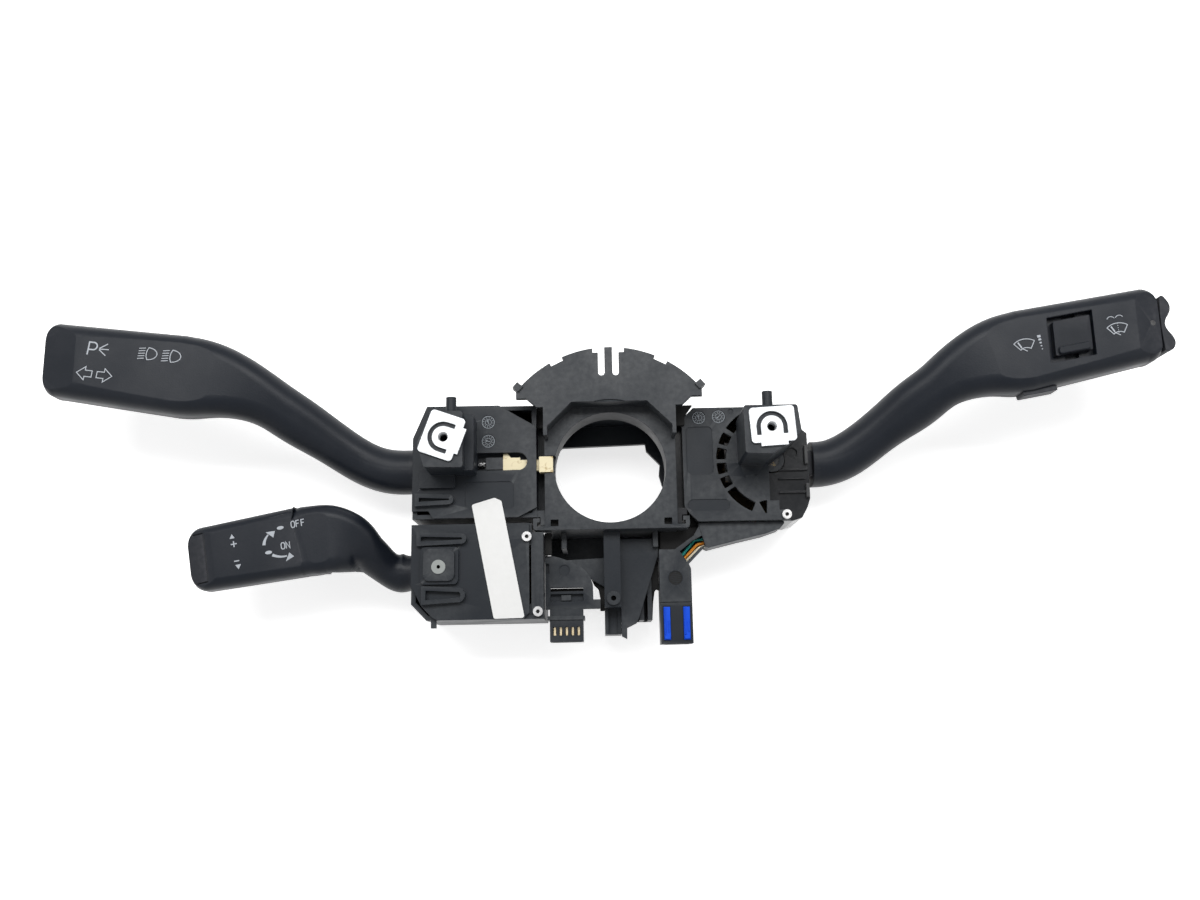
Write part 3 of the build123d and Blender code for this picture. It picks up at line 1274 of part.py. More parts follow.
with BuildPart() as reset_button:
    frame_box(wiper_frame, reset_inner, reset_outer, reset_face_v, reset_back_v, -reset_half_w,
              reset_half_w)
    face_edges = reset_button.edges().group_by(Axis.Y)[0]
    fillet(face_edges, 0.8)
finish(reset_button, "reset_button")

# Inner pieces of the wiper switch
with BuildPart() as wiper_cradle:
    cradle(wiper_axis_x, upper_axis_y)
finish(wiper_cradle, "wiper_cradle")

with BuildPart() as wiper_contact:
    contact_carriage(wiper_axis_x, upper_axis_y)
finish(wiper_contact, "wiper_contact")

with BuildPart() as wiper_tilt_pin:
    cross_pin(wiper_axis_x, upper_axis_y)
finish(wiper_tilt_pin, "wiper_tilt_pin")

with BuildPart() as wiper_plunger:
    plunger(wiper_axis_x, upper_axis_y, 1)
finish(wiper_plunger, "wiper_plunger")

with BuildPart() as wiper_plunger_spring:
    plunger_spring(wiper_axis_x, upper_axis_y, 1)
finish(wiper_plunger_spring, "wiper_plunger_spring")

with BuildPart() as wiper_detent_track:
    detent_track(wiper_axis_x, upper_axis_y, 1)
finish(wiper_detent_track, "wiper_detent_track")

with BuildPart() as wiper_board:
    board(cover_inner + 6.0, 81.5 - module_wall, wiper_bottom + module_wall,
          wiper_top - module_wall, wiper_axis_x, upper_axis_y, 1)
finish(wiper_board, "wiper_board")

# Slip-ring plate below the carrier, with the five-way connector at its foot
bell_outline = [
    (-29.2, -60.6), (-29.2, -37.4), (-26.0, -37.4), (-22.6, -38.3), (-18.6, -39.9),
    (-15.0, -41.6), (-12.0, -43.7), (-9.8, -46.6), (-8.6, -50.0), (-8.5, -56.6), (-5.3, -56.6),
    (-5.3, -60.6),
]
pin_pitch = 2.6
first_pin_x = -25.4
pin_body = [(-27.4, -74.6), (-13.0, -74.6), (-13.0, -60.6), (-27.4, -60.6)]

with BuildPart() as slip_ring_plate:
    plate_outline(bell_outline, arm_front, arm_front + 3.0)
    box_between(-27.1, -12.8, -52.9, -51.3, arm_front - 1, arm_front + 3, mode=Mode.SUBTRACT)
    box_between(-27.1, -12.8, -57.3, -54.1, arm_front + 1.0, arm_front + 3, mode=Mode.SUBTRACT)
    box_between(-22.4, -18.2, -56.9, -54.5, arm_front + 1.0, arm_front + 2.4)
    box_between(-29.0, -27.6, -45.0, -40.8, arm_front + 1.4, arm_front + 3, mode=Mode.SUBTRACT)
    shallow_disc(-20.9, -43.8, 2.4, arm_front + 3)
finish(slip_ring_plate, "slip_ring_plate")

with BuildPart() as pin_connector:
    plate_outline(pin_body, -20.0, -8.5)
    plate_outline([(-28.4, -65.3), (-12.3, -65.3), (-12.3, -63.6), (-28.4, -63.6)], -20.6, -7.9)
    box_between(-26.6, -13.8, -75.0, -66.2, -18.6, -10.4, mode=Mode.SUBTRACT)
    for number in range(5):
        pin_x = first_pin_x + number * pin_pitch
        box_between(pin_x - 0.75, pin_x + 0.75, -71.9, -68.3, -11.0, -8.0, mode=Mode.SUBTRACT)
        box_between(pin_x - 0.6, pin_x + 0.6, -67.0, -60.0, -12.0, -11.0, mode=Mode.SUBTRACT)
finish(pin_connector, "pin_connector")

with BuildPart() as pin_contacts:
    for number in range(5):
        pin_x = first_pin_x + number * pin_pitch
        box_between(pin_x - 0.5, pin_x + 0.5, -73.4, -60.8, -12.0, -11.2)
finish(pin_contacts, "pin_contacts")

# Harness connector with an elbow, wire duct and wires
connector_front = -8.0
connector_back = -22.0
connector_outline = [
    (20.6, -35.6), (27.5, -35.7), (36.0, -29.7), (38.3, -25.7), (40.9, -34.4), (33.4, -42.0),
    (34.3, -44.2), (34.3, -76.3), (20.5, -76.3), (20.5, -44.0),
]
duct_outline = [
    (38.5, -25.7), (41.1, -34.6), (42.4, -35.2), (55.8, -32.0), (67.0, -29.6), (74.0, -27.3),
    (76.0, -25.0), (76.0, -24.1), (38.5, -24.1),
]
elbow_window = [(29.7, -36.6), (35.2, -32.2), (43.0, -28.0), (43.0, -33.2), (38.4, -35.2), (32.6, -41.2)]

with BuildPart() as harness_connector:
    plate_outline(connector_outline, connector_back, connector_front)
    box_between(22.0, 32.8, -77.0, -66.0, -20.0, -10.0, mode=Mode.SUBTRACT)
    # Wire chamber and the open elbow
    box_between(24.0, 32.6, -60.0, -40.5, -20.0, -10.5, mode=Mode.SUBTRACT)
    box_between(26.6, 32.0, -42.0, -38.0, -20.0, -10.5, mode=Mode.SUBTRACT)
    plate_outline(elbow_window, -20.0, connector_front, mode=Mode.SUBTRACT)
    # Step across the front and seats for the two locks
    box_between(20.0, 35.0, -59.1, -58.5, connector_front - 0.5, connector_front,
                mode=Mode.SUBTRACT)
    for lock_x in (21.7, 30.2):
        box_between(lock_x, lock_x + 3.0, -74.8, -60.5, connector_front - 1.2, connector_front,
                    mode=Mode.SUBTRACT)
    shallow_disc(27.4, -48.2, 3.1, connector_front)
finish(harness_connector, "harness_connector")

with BuildPart() as connector_locks:
    for lock_x in (21.7, 30.2):
        box_between(lock_x + 0.1, lock_x + 2.9, -74.7, -60.6, connector_front - 1.2,
                    connector_front + 0.4)
finish(connector_locks, "connector_locks")

with BuildPart() as wire_duct:
    plate_outline(duct_outline, connector_back, connector_front - 1.0)
    plate_outline([(37.0, -27.4), (37.0, -33.0), (41.6, -33.4), (55.6, -30.2), (66.6, -27.9),
                   (72.6, -26.0)], -20.0, -10.5, mode=Mode.SUBTRACT)
    box_between(61.0, 69.0, -27.8, -23.5, -20.0, -10.5, mode=Mode.SUBTRACT)
finish(wire_duct, "wire_duct")

wire_radius = 0.65
wire_levels = [(-12.4, 0.0), (-15.0, 0.5), (-17.6, 1.0)]


def wire(level, shift):
    """One wire from the connector's chamber round the elbow and along the duct."""
    with BuildLine() as path:
        FilletPolyline(
            (28.4 + shift, -59.0, level), (28.4 + shift, -42.0, level),
            (37.4, -32.6 - 0.8 * shift, level), (53.0, -29.6, level),
            (65.0 - shift, -27.0, level), (65.0 - shift, -19.5, level), radius=1.8)
    with BuildSketch(Plane(path.line @ 0, z_dir=path.line % 0)) as section:
        Circle(wire_radius)
    sweep(section.sketch, path=path.line)


with BuildPart() as teal_wire:
    wire(*wire_levels[0])
finish(teal_wire, "teal_wire")

with BuildPart() as orange_wire:
    wire(*wire_levels[1])
finish(orange_wire, "orange_wire")

with BuildPart() as cream_wire:
    wire(*wire_levels[2])
finish(cream_wire, "cream_wire")

# Seal strip across the two left covers
seal_outline = [(-60.3, -15.8), (-50.7, -64.8), (-37.6, -64.6), (-47.4, -14.3), (-50.4, -12.9)]

with BuildPart() as seal_strip:
    plate_outline(seal_outline, left_cover_front, left_cover_front + 0.3, corner=1.0)
finish(seal_strip, "seal_strip")


def cover_screw(spot, z_seat):
    """Small screw with a round head and a hexagon socket."""
    x, y = spot
    with Locations((x, y, z_seat + screw_head_height / 2)):
        Cylinder(screw_head_radius, screw_head_height)
    with Locations((x, y, z_seat - screw_length / 2)):
        Cylinder(screw_shank_radius, screw_length)
    with BuildSketch(Plane((x, y, z_seat + screw_head_height))) as socket:
        RegularPolygon(socket_radius, 6)
    extrude(socket.sketch, amount=-1.0, mode=Mode.SUBTRACT)


with BuildPart() as cover_screws:
    cover_screw(first_screw, left_cover_front)
    cover_screw(second_screw, strip_front)
    cover_screw(third_screw, wiper_cover_front)
finish(cover_screws, "cover_screws")
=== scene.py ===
"""Looks for a steering column combination switch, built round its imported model."""
from math import cos, pi, radians, sin

import bmesh
import bpy
from mathutils import Matrix, Vector


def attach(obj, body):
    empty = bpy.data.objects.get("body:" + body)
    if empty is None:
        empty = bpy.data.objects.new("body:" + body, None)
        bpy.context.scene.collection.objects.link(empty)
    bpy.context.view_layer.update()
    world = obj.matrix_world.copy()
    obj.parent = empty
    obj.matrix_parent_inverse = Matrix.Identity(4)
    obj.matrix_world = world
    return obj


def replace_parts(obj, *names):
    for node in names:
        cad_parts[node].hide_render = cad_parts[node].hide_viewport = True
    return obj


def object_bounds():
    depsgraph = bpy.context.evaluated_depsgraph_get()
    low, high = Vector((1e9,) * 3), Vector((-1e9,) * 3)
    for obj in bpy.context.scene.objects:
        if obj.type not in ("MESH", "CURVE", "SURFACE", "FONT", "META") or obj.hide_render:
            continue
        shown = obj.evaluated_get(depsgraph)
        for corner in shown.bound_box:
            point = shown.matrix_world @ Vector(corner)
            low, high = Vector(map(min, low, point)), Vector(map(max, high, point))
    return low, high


bl_info = {
    "name": "Column Stalk Switch",
    "version": (1, 0, 0),
    "blender": (4, 5, 0),
    "location": "View3D > Sidebar > Stalk Switch",
    "description": "Finishes, printed symbols, floor, light and camera for a column stalk switch",
    "category": "Object",
}

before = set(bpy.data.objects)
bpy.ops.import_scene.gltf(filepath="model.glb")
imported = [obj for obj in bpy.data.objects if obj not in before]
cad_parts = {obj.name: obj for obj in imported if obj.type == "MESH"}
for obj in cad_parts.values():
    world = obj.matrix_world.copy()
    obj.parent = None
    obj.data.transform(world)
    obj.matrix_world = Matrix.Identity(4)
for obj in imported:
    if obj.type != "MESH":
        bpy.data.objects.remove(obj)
cad_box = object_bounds()
MM = 0.001
SHAPE_STEP = 0.0000006      # metres between two shapes of one printed sheet
SENSOR_WIDTH = 36.0         # millimetres, of the camera that the lens is given for
PICTURE_WIDTH = 1200        # pixels
BORE_OFFSET = (10.3, 16.8)  # pixels from the picture's centre, right and down
SURROUND_FILL = 0.22        # strength of the surround for rays that light the switch
FLOOR_FILL_SHARE = 0.35     # share of the floor's glow that lights the switch
LETTER_LINE = 0.42          # millimetres
NUTS = ((-70.0, 9.9, 70.3), (67.9, 11.8, 3.3))   # x, y and turn of the two nut plates
NUT_FRONT = 22.0
SCREW_HEADS = ((-36.5, -30.1, 2.5), (-32.0, -62.0, 1.3), (76.8, -21.6, -4.5))  # x, y, top
MOULD_DIALS = ((-53.2, 20.8, 0.7, 20), (-53.2, 12.3, 0.7, 75), (39.9, 22.7, -6.3, 10),
               (48.7, 23.0, -6.3, 130))   # x, y, z and turn
CONNECTOR_DISC = (27.4, -48.2)
INDICATOR_FACE = (-179.165, 43.141, 13.6)   # origin of each paddle's front face
WIPER_FACE = (177.993, 47.864, 13.6)
CRUISE_FACE = (-126.016, -26.493, 3.85)
INDICATOR_TURN, WIPER_TURN, CRUISE_TURN = radians(-8.0), radians(9.5), radians(9.5)


def colour_prop(name, description, default):
    """A colour that a user would change."""
    return bpy.props.FloatVectorProperty(name=name, description=description, default=default,
                                         size=3, min=0.0, max=1.0, subtype="COLOR")


def length_prop(name, description, default):
    """A length in metres."""
    return bpy.props.FloatProperty(name=name, description=description, default=default,
                                   min=0.0, subtype="DISTANCE", unit="LENGTH")


def factor_prop(name, description, default):
    """An amount from 0 to 1."""
    return bpy.props.FloatProperty(name=name, description=description, default=default,
                                   min=0.0, max=1.0, subtype="FACTOR")


class SwitchFinish(bpy.types.PropertyGroup):
    """Colours and surface values of the switch."""
    housing: colour_prop("Housing", "Glass-filled plastic of the housings",
                         (0.0095, 0.0125, 0.0170))
    gloss: colour_prop("End block", "Smooth plastic of the wiper housing", (0.005, 0.0065, 0.0085))
    stalk: colour_prop("Stalks", "Soft plastic of the arms and paddles", (0.0055, 0.0080, 0.0130))
    button: colour_prop("Buttons", "Plastic of the slider, rocker and push buttons",
                        (0.0050, 0.0070, 0.0110))
    print_ink: colour_prop("Printing", "Ink of the printed symbols", (0.46, 0.49, 0.53))
    zinc: colour_prop("Nut plates", "Galvanised sheet of the nut plates", (0.46, 0.475, 0.49))
    steel: colour_prop("Steel", "Screws, pins and springs", (0.46, 0.46, 0.46))
    pawl: colour_prop("Pawl", "Plastic of the cancel pawl", (0.80, 0.71, 0.47))
    grease: colour_prop("Grease", "Grease in the open slot", (0.42, 0.30, 0.12))
    grain_size: length_prop("Grain size", "Size of the moulded grain", 0.0006)
    grain_depth: factor_prop("Grain depth", "Strength of the moulded grain", 0.35)
    print_height: length_prop("Ink height", "Thickness of the printed ink", 0.00004)
    sheen: factor_prop("Plastic sheen", "Specular level of the plastics", 0.20)


class SwitchStage(bpy.types.PropertyGroup):
    """Floor, light and camera."""
    floor: colour_prop("Floor", "Colour of the floor", (0.90, 0.90, 0.90))
    floor_glow: factor_prop("Floor glow", "Light that keeps the floor white", 0.72)
    floor_drop: length_prop("Floor gap", "Gap between the switch and the floor", 0.0002)
    key: bpy.props.FloatProperty(name="Key light", description="Power of the large overhead light",
                                 default=11.0, min=0.0, unit="POWER")
    fill: bpy.props.FloatProperty(name="Fill light", description="Power of the two side lights",
                                  default=0.8, min=0.0, unit="POWER")
    camera_distance: length_prop("Camera distance", "Camera to the bore's centre", 0.480)
    camera_tilt: bpy.props.FloatProperty(name="Camera tilt",
                                         description="Tilt of the view off the column's axis",
                                         default=radians(11.8), subtype="ANGLE")
    camera_roll: bpy.props.FloatProperty(name="Camera roll", description="Roll of the picture",
                                         default=radians(1.1), subtype="ANGLE")
    lens: bpy.props.FloatProperty(name="Lens", description="Focal length on a 36 mm sensor",
                                  default=33.0, min=1.0, unit="CAMERA")


def set_inputs(tree, node, inputs):
    """Give each named input a value, or link it to another node's output."""
    for name, value in inputs.items():
        if isinstance(value, bpy.types.NodeSocket):
            tree.links.new(value, node.inputs[name])
        else:
            node.inputs[name].default_value = value


def add_node(tree, kind, inputs=None, **settings):
    """A shader node with its settings and inputs."""
    node = tree.nodes.new(f"ShaderNode{kind}")
    for name, value in settings.items():
        setattr(node, name, value)
    set_inputs(tree, node, inputs or {})
    return node


def add_socket(group, name, kind, is_input, default=None):
    """A named input or output of a node group."""
    socket = group.interface.new_socket(name=name, in_out="INPUT" if is_input else "OUTPUT",
                                        socket_type=kind)
    if default is not None:
        socket.default_value = default


def new_group(name):
    """An empty node group with its input and output nodes."""
    group = bpy.data.node_groups.new(name, "ShaderNodeTree")
    return group, group.nodes.new("NodeGroupInput"), group.nodes.new("NodeGroupOutput")


def moulded_grain_group():
    """Fine moulded grain: a height for a bump, and a roughness that varies with it."""
    group, into, out = new_group("Moulded Grain")
    add_socket(group, "Grain Size", "NodeSocketFloat", True, 0.0006)
    add_socket(group, "Roughness", "NodeSocketFloat", True, 0.5)
    add_socket(group, "Variation", "NodeSocketFloat", True, 0.1)
    add_socket(group, "Height", "NodeSocketFloat", False)
    add_socket(group, "Roughness", "NodeSocketFloat", False)
    place = add_node(group, "TexCoord").outputs["Object"]
    per_metre = add_node(group, "Math", {0: 1.0, 1: into.outputs["Grain Size"]},
                         operation="DIVIDE")
    fine = add_node(group, "TexVoronoi", {"Vector": place, "Scale": per_metre.outputs[0]},
                    feature="SMOOTH_F1")
    broad = add_node(group, "TexNoise", {"Vector": place, "Scale": 60.0, "Detail": 4.0})
    spread = add_node(group, "MapRange", {"Value": broad.outputs["Fac"], "From Min": 0.3,
                                          "From Max": 0.7, "To Min": -1.0})
    scaled = add_node(group, "Math", {0: spread.outputs[0], 1: into.outputs["Variation"],
                                      2: into.outputs["Roughness"]},
                      operation="MULTIPLY_ADD")
    set_inputs(group, out, {"Height": fine.outputs["Distance"],
                            "Roughness": scaled.outputs[0]})
    return group


def worn_edge_group():
    """Lighter, rubbed edges and a thin uneven film of dust, as a colour."""
    group, into, out = new_group("Worn Edge")
    add_socket(group, "Color", "NodeSocketColor", True, (0.02, 0.02, 0.02, 1.0))
    add_socket(group, "Worn Color", "NodeSocketColor", True, (0.12, 0.12, 0.12, 1.0))
    add_socket(group, "Wear", "NodeSocketFloat", True, 0.3)
    add_socket(group, "Dust", "NodeSocketFloat", True, 0.1)
    add_socket(group, "Color", "NodeSocketColor", False)
    place = add_node(group, "TexCoord").outputs["Object"]
    shape = add_node(group, "NewGeometry")
    edge = add_node(group, "MapRange", {"Value": shape.outputs["Pointiness"],
                                        "From Min": 0.52, "From Max": 0.62})
    rub = add_node(group, "TexNoise", {"Vector": place, "Scale": 420.0, "Detail": 3.0})
    patchy = add_node(group, "Math", {0: edge.outputs[0], 1: rub.outputs["Fac"]},
                      operation="MULTIPLY")
    worn = add_node(group, "Math", {0: patchy.outputs[0], 1: into.outputs["Wear"]},
                    operation="MULTIPLY", use_clamp=True)
    film = add_node(group, "TexNoise", {"Vector": place, "Scale": 35.0, "Detail": 6.0,
                                        "Roughness": 0.7})
    film_range = add_node(group, "MapRange", {"Value": film.outputs["Fac"],
                                              "From Min": 0.45, "From Max": 0.75})
    dust = add_node(group, "Math", {0: film_range.outputs[0], 1: into.outputs["Dust"]},
                    operation="MULTIPLY")
    dusty = add_node(group, "Mix", {"Factor": dust.outputs[0], "A": into.outputs["Color"],
                                    "B": into.outputs["Worn Color"]}, data_type="RGBA")
    rubbed = add_node(group, "Mix", {"Factor": worn.outputs[0],
                                     "A": dusty.outputs["Result"],
                                     "B": into.outputs["Worn Color"]}, data_type="RGBA")
    set_inputs(group, out, {"Color": rubbed.outputs["Result"]})
    return group


def soft_edge_group():
    """Small rounding of sharp edges, as a normal."""
    group, into, out = new_group("Soft Edge")
    add_socket(group, "Radius", "NodeSocketFloat", True, 0.0003)
    add_socket(group, "Normal", "NodeSocketVector", False)
    bevel = add_node(group, "Bevel", {"Radius": into.outputs["Radius"]}, samples=4)
    set_inputs(group, out, {"Normal": bevel.outputs["Normal"]})
    return group


def shared_group(tree, name, maker, inputs):
    """A node for the group of that name, which is made on its first use."""
    group = bpy.data.node_groups.get(name) or maker()
    return add_node(tree, "Group", inputs, node_tree=group)


def rgba(colour):
    """A colour with full cover."""
    return (*colour, 1.0)


def new_material(name):
    """A material with its node tree and its Principled shader."""
    material = bpy.data.materials.new(name)
    material.use_nodes = True
    tree = material.node_tree
    return material, tree, tree.nodes["Principled BSDF"]


def plastic(name, colour, worn, roughness, variation=0.08, wear=0.5, dust=0.1, bump=0.35,
            edge=0.0003):
    """Moulded plastic with grain, worn edges, dust and softened edges."""
    finish = bpy.context.scene.switch_finish
    material, tree, shader = new_material(name)
    grain = shared_group(tree, "Moulded Grain", moulded_grain_group,
                         {"Grain Size": finish.grain_size, "Roughness": roughness,
                          "Variation": variation})
    wear_node = shared_group(tree, "Worn Edge", worn_edge_group,
                             {"Color": rgba(colour), "Worn Color": rgba(worn),
                              "Wear": wear, "Dust": dust})
    soft = shared_group(tree, "Soft Edge", soft_edge_group, {"Radius": edge})
    relief = add_node(tree, "Bump", {"Strength": bump * finish.grain_depth,
                                     "Distance": 0.0001, "Height": grain.outputs["Height"],
                                     "Normal": soft.outputs["Normal"]})
    set_inputs(tree, shader, {"Normal": relief.outputs["Normal"],
                              "Base Color": wear_node.outputs["Color"],
                              "Roughness": grain.outputs["Roughness"],
                              "Specular IOR Level": finish.sheen})
    return material


def metal(name, colour, dull, roughness, mottle_scale, metallic=1.0, edge=0.00015):
    """Metal with a mottled, slightly dulled surface."""
    material, tree, shader = new_material(name)
    place = add_node(tree, "TexCoord").outputs["Object"]
    mottle = add_node(tree, "TexVoronoi", {"Vector": place, "Scale": mottle_scale})
    smear = add_node(tree, "TexNoise", {"Vector": place, "Scale": mottle_scale * 0.4,
                                        "Detail": 5.0})
    amount = add_node(tree, "MapRange", {"Value": smear.outputs["Fac"],
                                         "From Min": 0.4, "From Max": 0.75})
    blend = add_node(tree, "Mix", {"Factor": amount.outputs[0], "A": rgba(colour),
                                   "B": rgba(dull)}, data_type="RGBA")
    rough = add_node(tree, "MapRange", {"Value": mottle.outputs["Distance"],
                                        "To Min": roughness * 0.75,
                                        "To Max": roughness * 1.3})
    soft = shared_group(tree, "Soft Edge", soft_edge_group, {"Radius": edge})
    set_inputs(tree, shader, {"Metallic": metallic, "Base Color": blend.outputs["Result"],
                              "Roughness": rough.outputs[0],
                              "Normal": soft.outputs["Normal"]})
    return material


def greased(name, colour, grease, cover):
    """Plain plastic under an uneven, glossy smear of grease."""
    material, tree, shader = new_material(name)
    place = add_node(tree, "TexCoord").outputs["Object"]
    smear = add_node(tree, "TexNoise", {"Vector": place, "Scale": 260.0, "Detail": 4.0,
                                        "Distortion": 0.8})
    mask = add_node(tree, "MapRange", {"Value": smear.outputs["Fac"],
                                       "From Min": 0.62 - cover * 0.3,
                                       "From Max": 0.72 - cover * 0.2})
    blend = add_node(tree, "Mix", {"Factor": mask.outputs[0], "A": rgba(colour),
                                   "B": rgba(grease)}, data_type="RGBA")
    rough = add_node(tree, "MapRange", {"Value": mask.outputs[0], "To Min": 0.5,
                                        "To Max": 0.2})
    relief = add_node(tree, "Bump", {"Strength": 0.5, "Distance": 0.0002,
                                     "Height": smear.outputs["Fac"]})
    set_inputs(tree, shader, {"Base Color": blend.outputs["Result"],
                              "Roughness": rough.outputs[0],
                              "Normal": relief.outputs["Normal"]})
    return material


def dress(material, *names):
    """Give CAD nodes their finish."""
    for name in names:
        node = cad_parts[name]
        node.data.materials.clear()
        node.data.materials.append(material)


class HousingsOperator(bpy.types.Operator):
    """Finish the carrier, housings, covers and plates"""
    bl_idname = "stalk_switch.housings"
    bl_label = "Housings"

    def execute(self, context):
        finish = context.scene.switch_finish
        grained = plastic("glass filled black", finish.housing, (0.09, 0.095, 0.10), 0.42,
                          wear=0.8, dust=0.05, bump=0.6)
        smooth = plastic("smooth black", finish.gloss, (0.07, 0.07, 0.075), 0.15, wear=0.5,
                         dust=0.05, bump=0.15)
        dress(grained, "column_carrier", "upper_guard_plate", "lower_bracket",
              "indicator_housing", "indicator_cover", "cruise_housing", "cruise_cover",
              "wiper_cover", "wire_duct", "harness_connector", "slip_ring_plate",
              "pin_connector", "pawl_slider")
        dress(smooth, "wiper_housing")
        return {"FINISHED"}


class StalksOperator(bpy.types.Operator):
    """Finish the three stalks with their buttons, slider and rocker"""
    bl_idname = "stalk_switch.stalks"
    bl_label = "Stalks"

    def execute(self, context):
        finish = context.scene.switch_finish
        arm = plastic("soft stalk plastic", finish.stalk, (0.10, 0.10, 0.11), 0.40,
                      variation=0.05, wear=0.4, dust=0.06, bump=0.7, edge=0.0006)
        button = plastic("button plastic", finish.button, (0.10, 0.10, 0.11), 0.50,
                         variation=0.05, wear=0.5, dust=0.05, bump=0.5, edge=0.0005)
        dress(arm, "indicator_stalk", "indicator_stalk_back", "cruise_stalk",
              "cruise_stalk_back", "wiper_stalk", "wiper_stalk_back")
        dress(button, "set_button", "interval_slider", "trip_rocker", "reset_button")
        return {"FINISHED"}


class MetalPartsOperator(bpy.types.Operator):
    """Finish the nut plates, screws, pins, springs and contacts"""
    bl_idname = "stalk_switch.metal_parts"
    bl_label = "Metal parts"

    def execute(self, context):
        finish = context.scene.switch_finish
        zinc = metal("galvanised sheet", finish.zinc, (0.40, 0.41, 0.42), 0.46, 900.0)
        steel = metal("plain steel", finish.steel, (0.32, 0.32, 0.32), 0.32, 700.0)
        brass = metal("stamped contact", (0.78, 0.66, 0.45), (0.55, 0.44, 0.26), 0.3, 800.0)
        dress(zinc, "indicator_nut_plate", "wiper_nut_plate")
        dress(steel, "cover_screws", "indicator_tilt_pin", "cruise_tilt_pin", "wiper_tilt_pin",
              "pawl_spring", "indicator_plunger_spring", "cruise_plunger_spring",
              "wiper_plunger_spring")
        dress(metal("blackened steel", (0.02, 0.02, 0.021), (0.04, 0.04, 0.04), 0.4, 700.0,
                    metallic=0.4), "trip_rocker_pin")
        dress(brass, "pin_contacts", "indicator_contact", "cruise_contact", "wiper_contact")
        return {"FINISHED"}


class MechanismOperator(bpy.types.Operator):
    """Finish the greased pawl, bush, cradles, plungers, tracks and boards"""
    bl_idname = "stalk_switch.mechanism"
    bl_label = "Mechanism"

    def execute(self, context):
        finish = context.scene.switch_finish
        dress(greased("greased pawl", finish.pawl, finish.grease, 0.35), "cancel_pawl")
        dress(greased("pivot bush", (0.28, 0.30, 0.29), (0.17, 0.18, 0.17), 0.2), "cruise_bush")
        dress(greased("cradle plastic", (0.020, 0.020, 0.021), finish.grease, 0.1),
              "indicator_cradle", "cruise_cradle", "wiper_cradle", "indicator_detent_track",
              "cruise_detent_track", "wiper_detent_track")
        dress(greased("plunger plastic", (0.05, 0.05, 0.05), finish.grease, 0.1),
              "indicator_plunger", "cruise_plunger", "wiper_plunger")
        dress(plastic("contact board", (0.09, 0.06, 0.025), (0.16, 0.12, 0.06), 0.5, bump=0.3),
              "indicator_board", "cruise_board", "wiper_board")
        return {"FINISHED"}


class WiringOperator(bpy.types.Operator):
    """Finish the wires, the connector's locks and the seal strip"""
    bl_idname = "stalk_switch.wiring"
    bl_label = "Wiring and seal"

    def execute(self, context):
        dress(plastic("blue lock", (0.001, 0.065, 0.66), (0.02, 0.13, 0.80), 0.34, wear=0.5,
                      dust=0.08, bump=0.3), "connector_locks")
        dress(plastic("teal sleeve", (0.03, 0.30, 0.26), (0.08, 0.42, 0.38), 0.4), "teal_wire")
        dress(plastic("orange sleeve", (0.72, 0.26, 0.03), (0.85, 0.48, 0.15), 0.4),
              "orange_wire")
        dress(plastic("cream sleeve", (0.76, 0.70, 0.52), (0.85, 0.82, 0.70), 0.4), "cream_wire")
        dress(plastic("seal film", (0.86, 0.86, 0.85), (0.62, 0.62, 0.60), 0.45, wear=0.3,
                      dust=0.12, bump=0.15, edge=0.0001), "seal_strip")
        return {"FINISHED"}


def add_piece(name, body, data):
    """Put a mesh in the scene as a piece that rides on a body."""
    piece = bpy.data.objects.new(name, data)
    bpy.context.scene.collection.objects.link(piece)
    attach(piece, body)
    return piece


def add_built(name, body, material, mesh):
    """Put a built mesh in the scene as a piece with its material."""
    data = bpy.data.meshes.new(name)
    mesh.to_mesh(data)
    mesh.free()
    data.materials.append(material)
    add_piece(name, body, data)


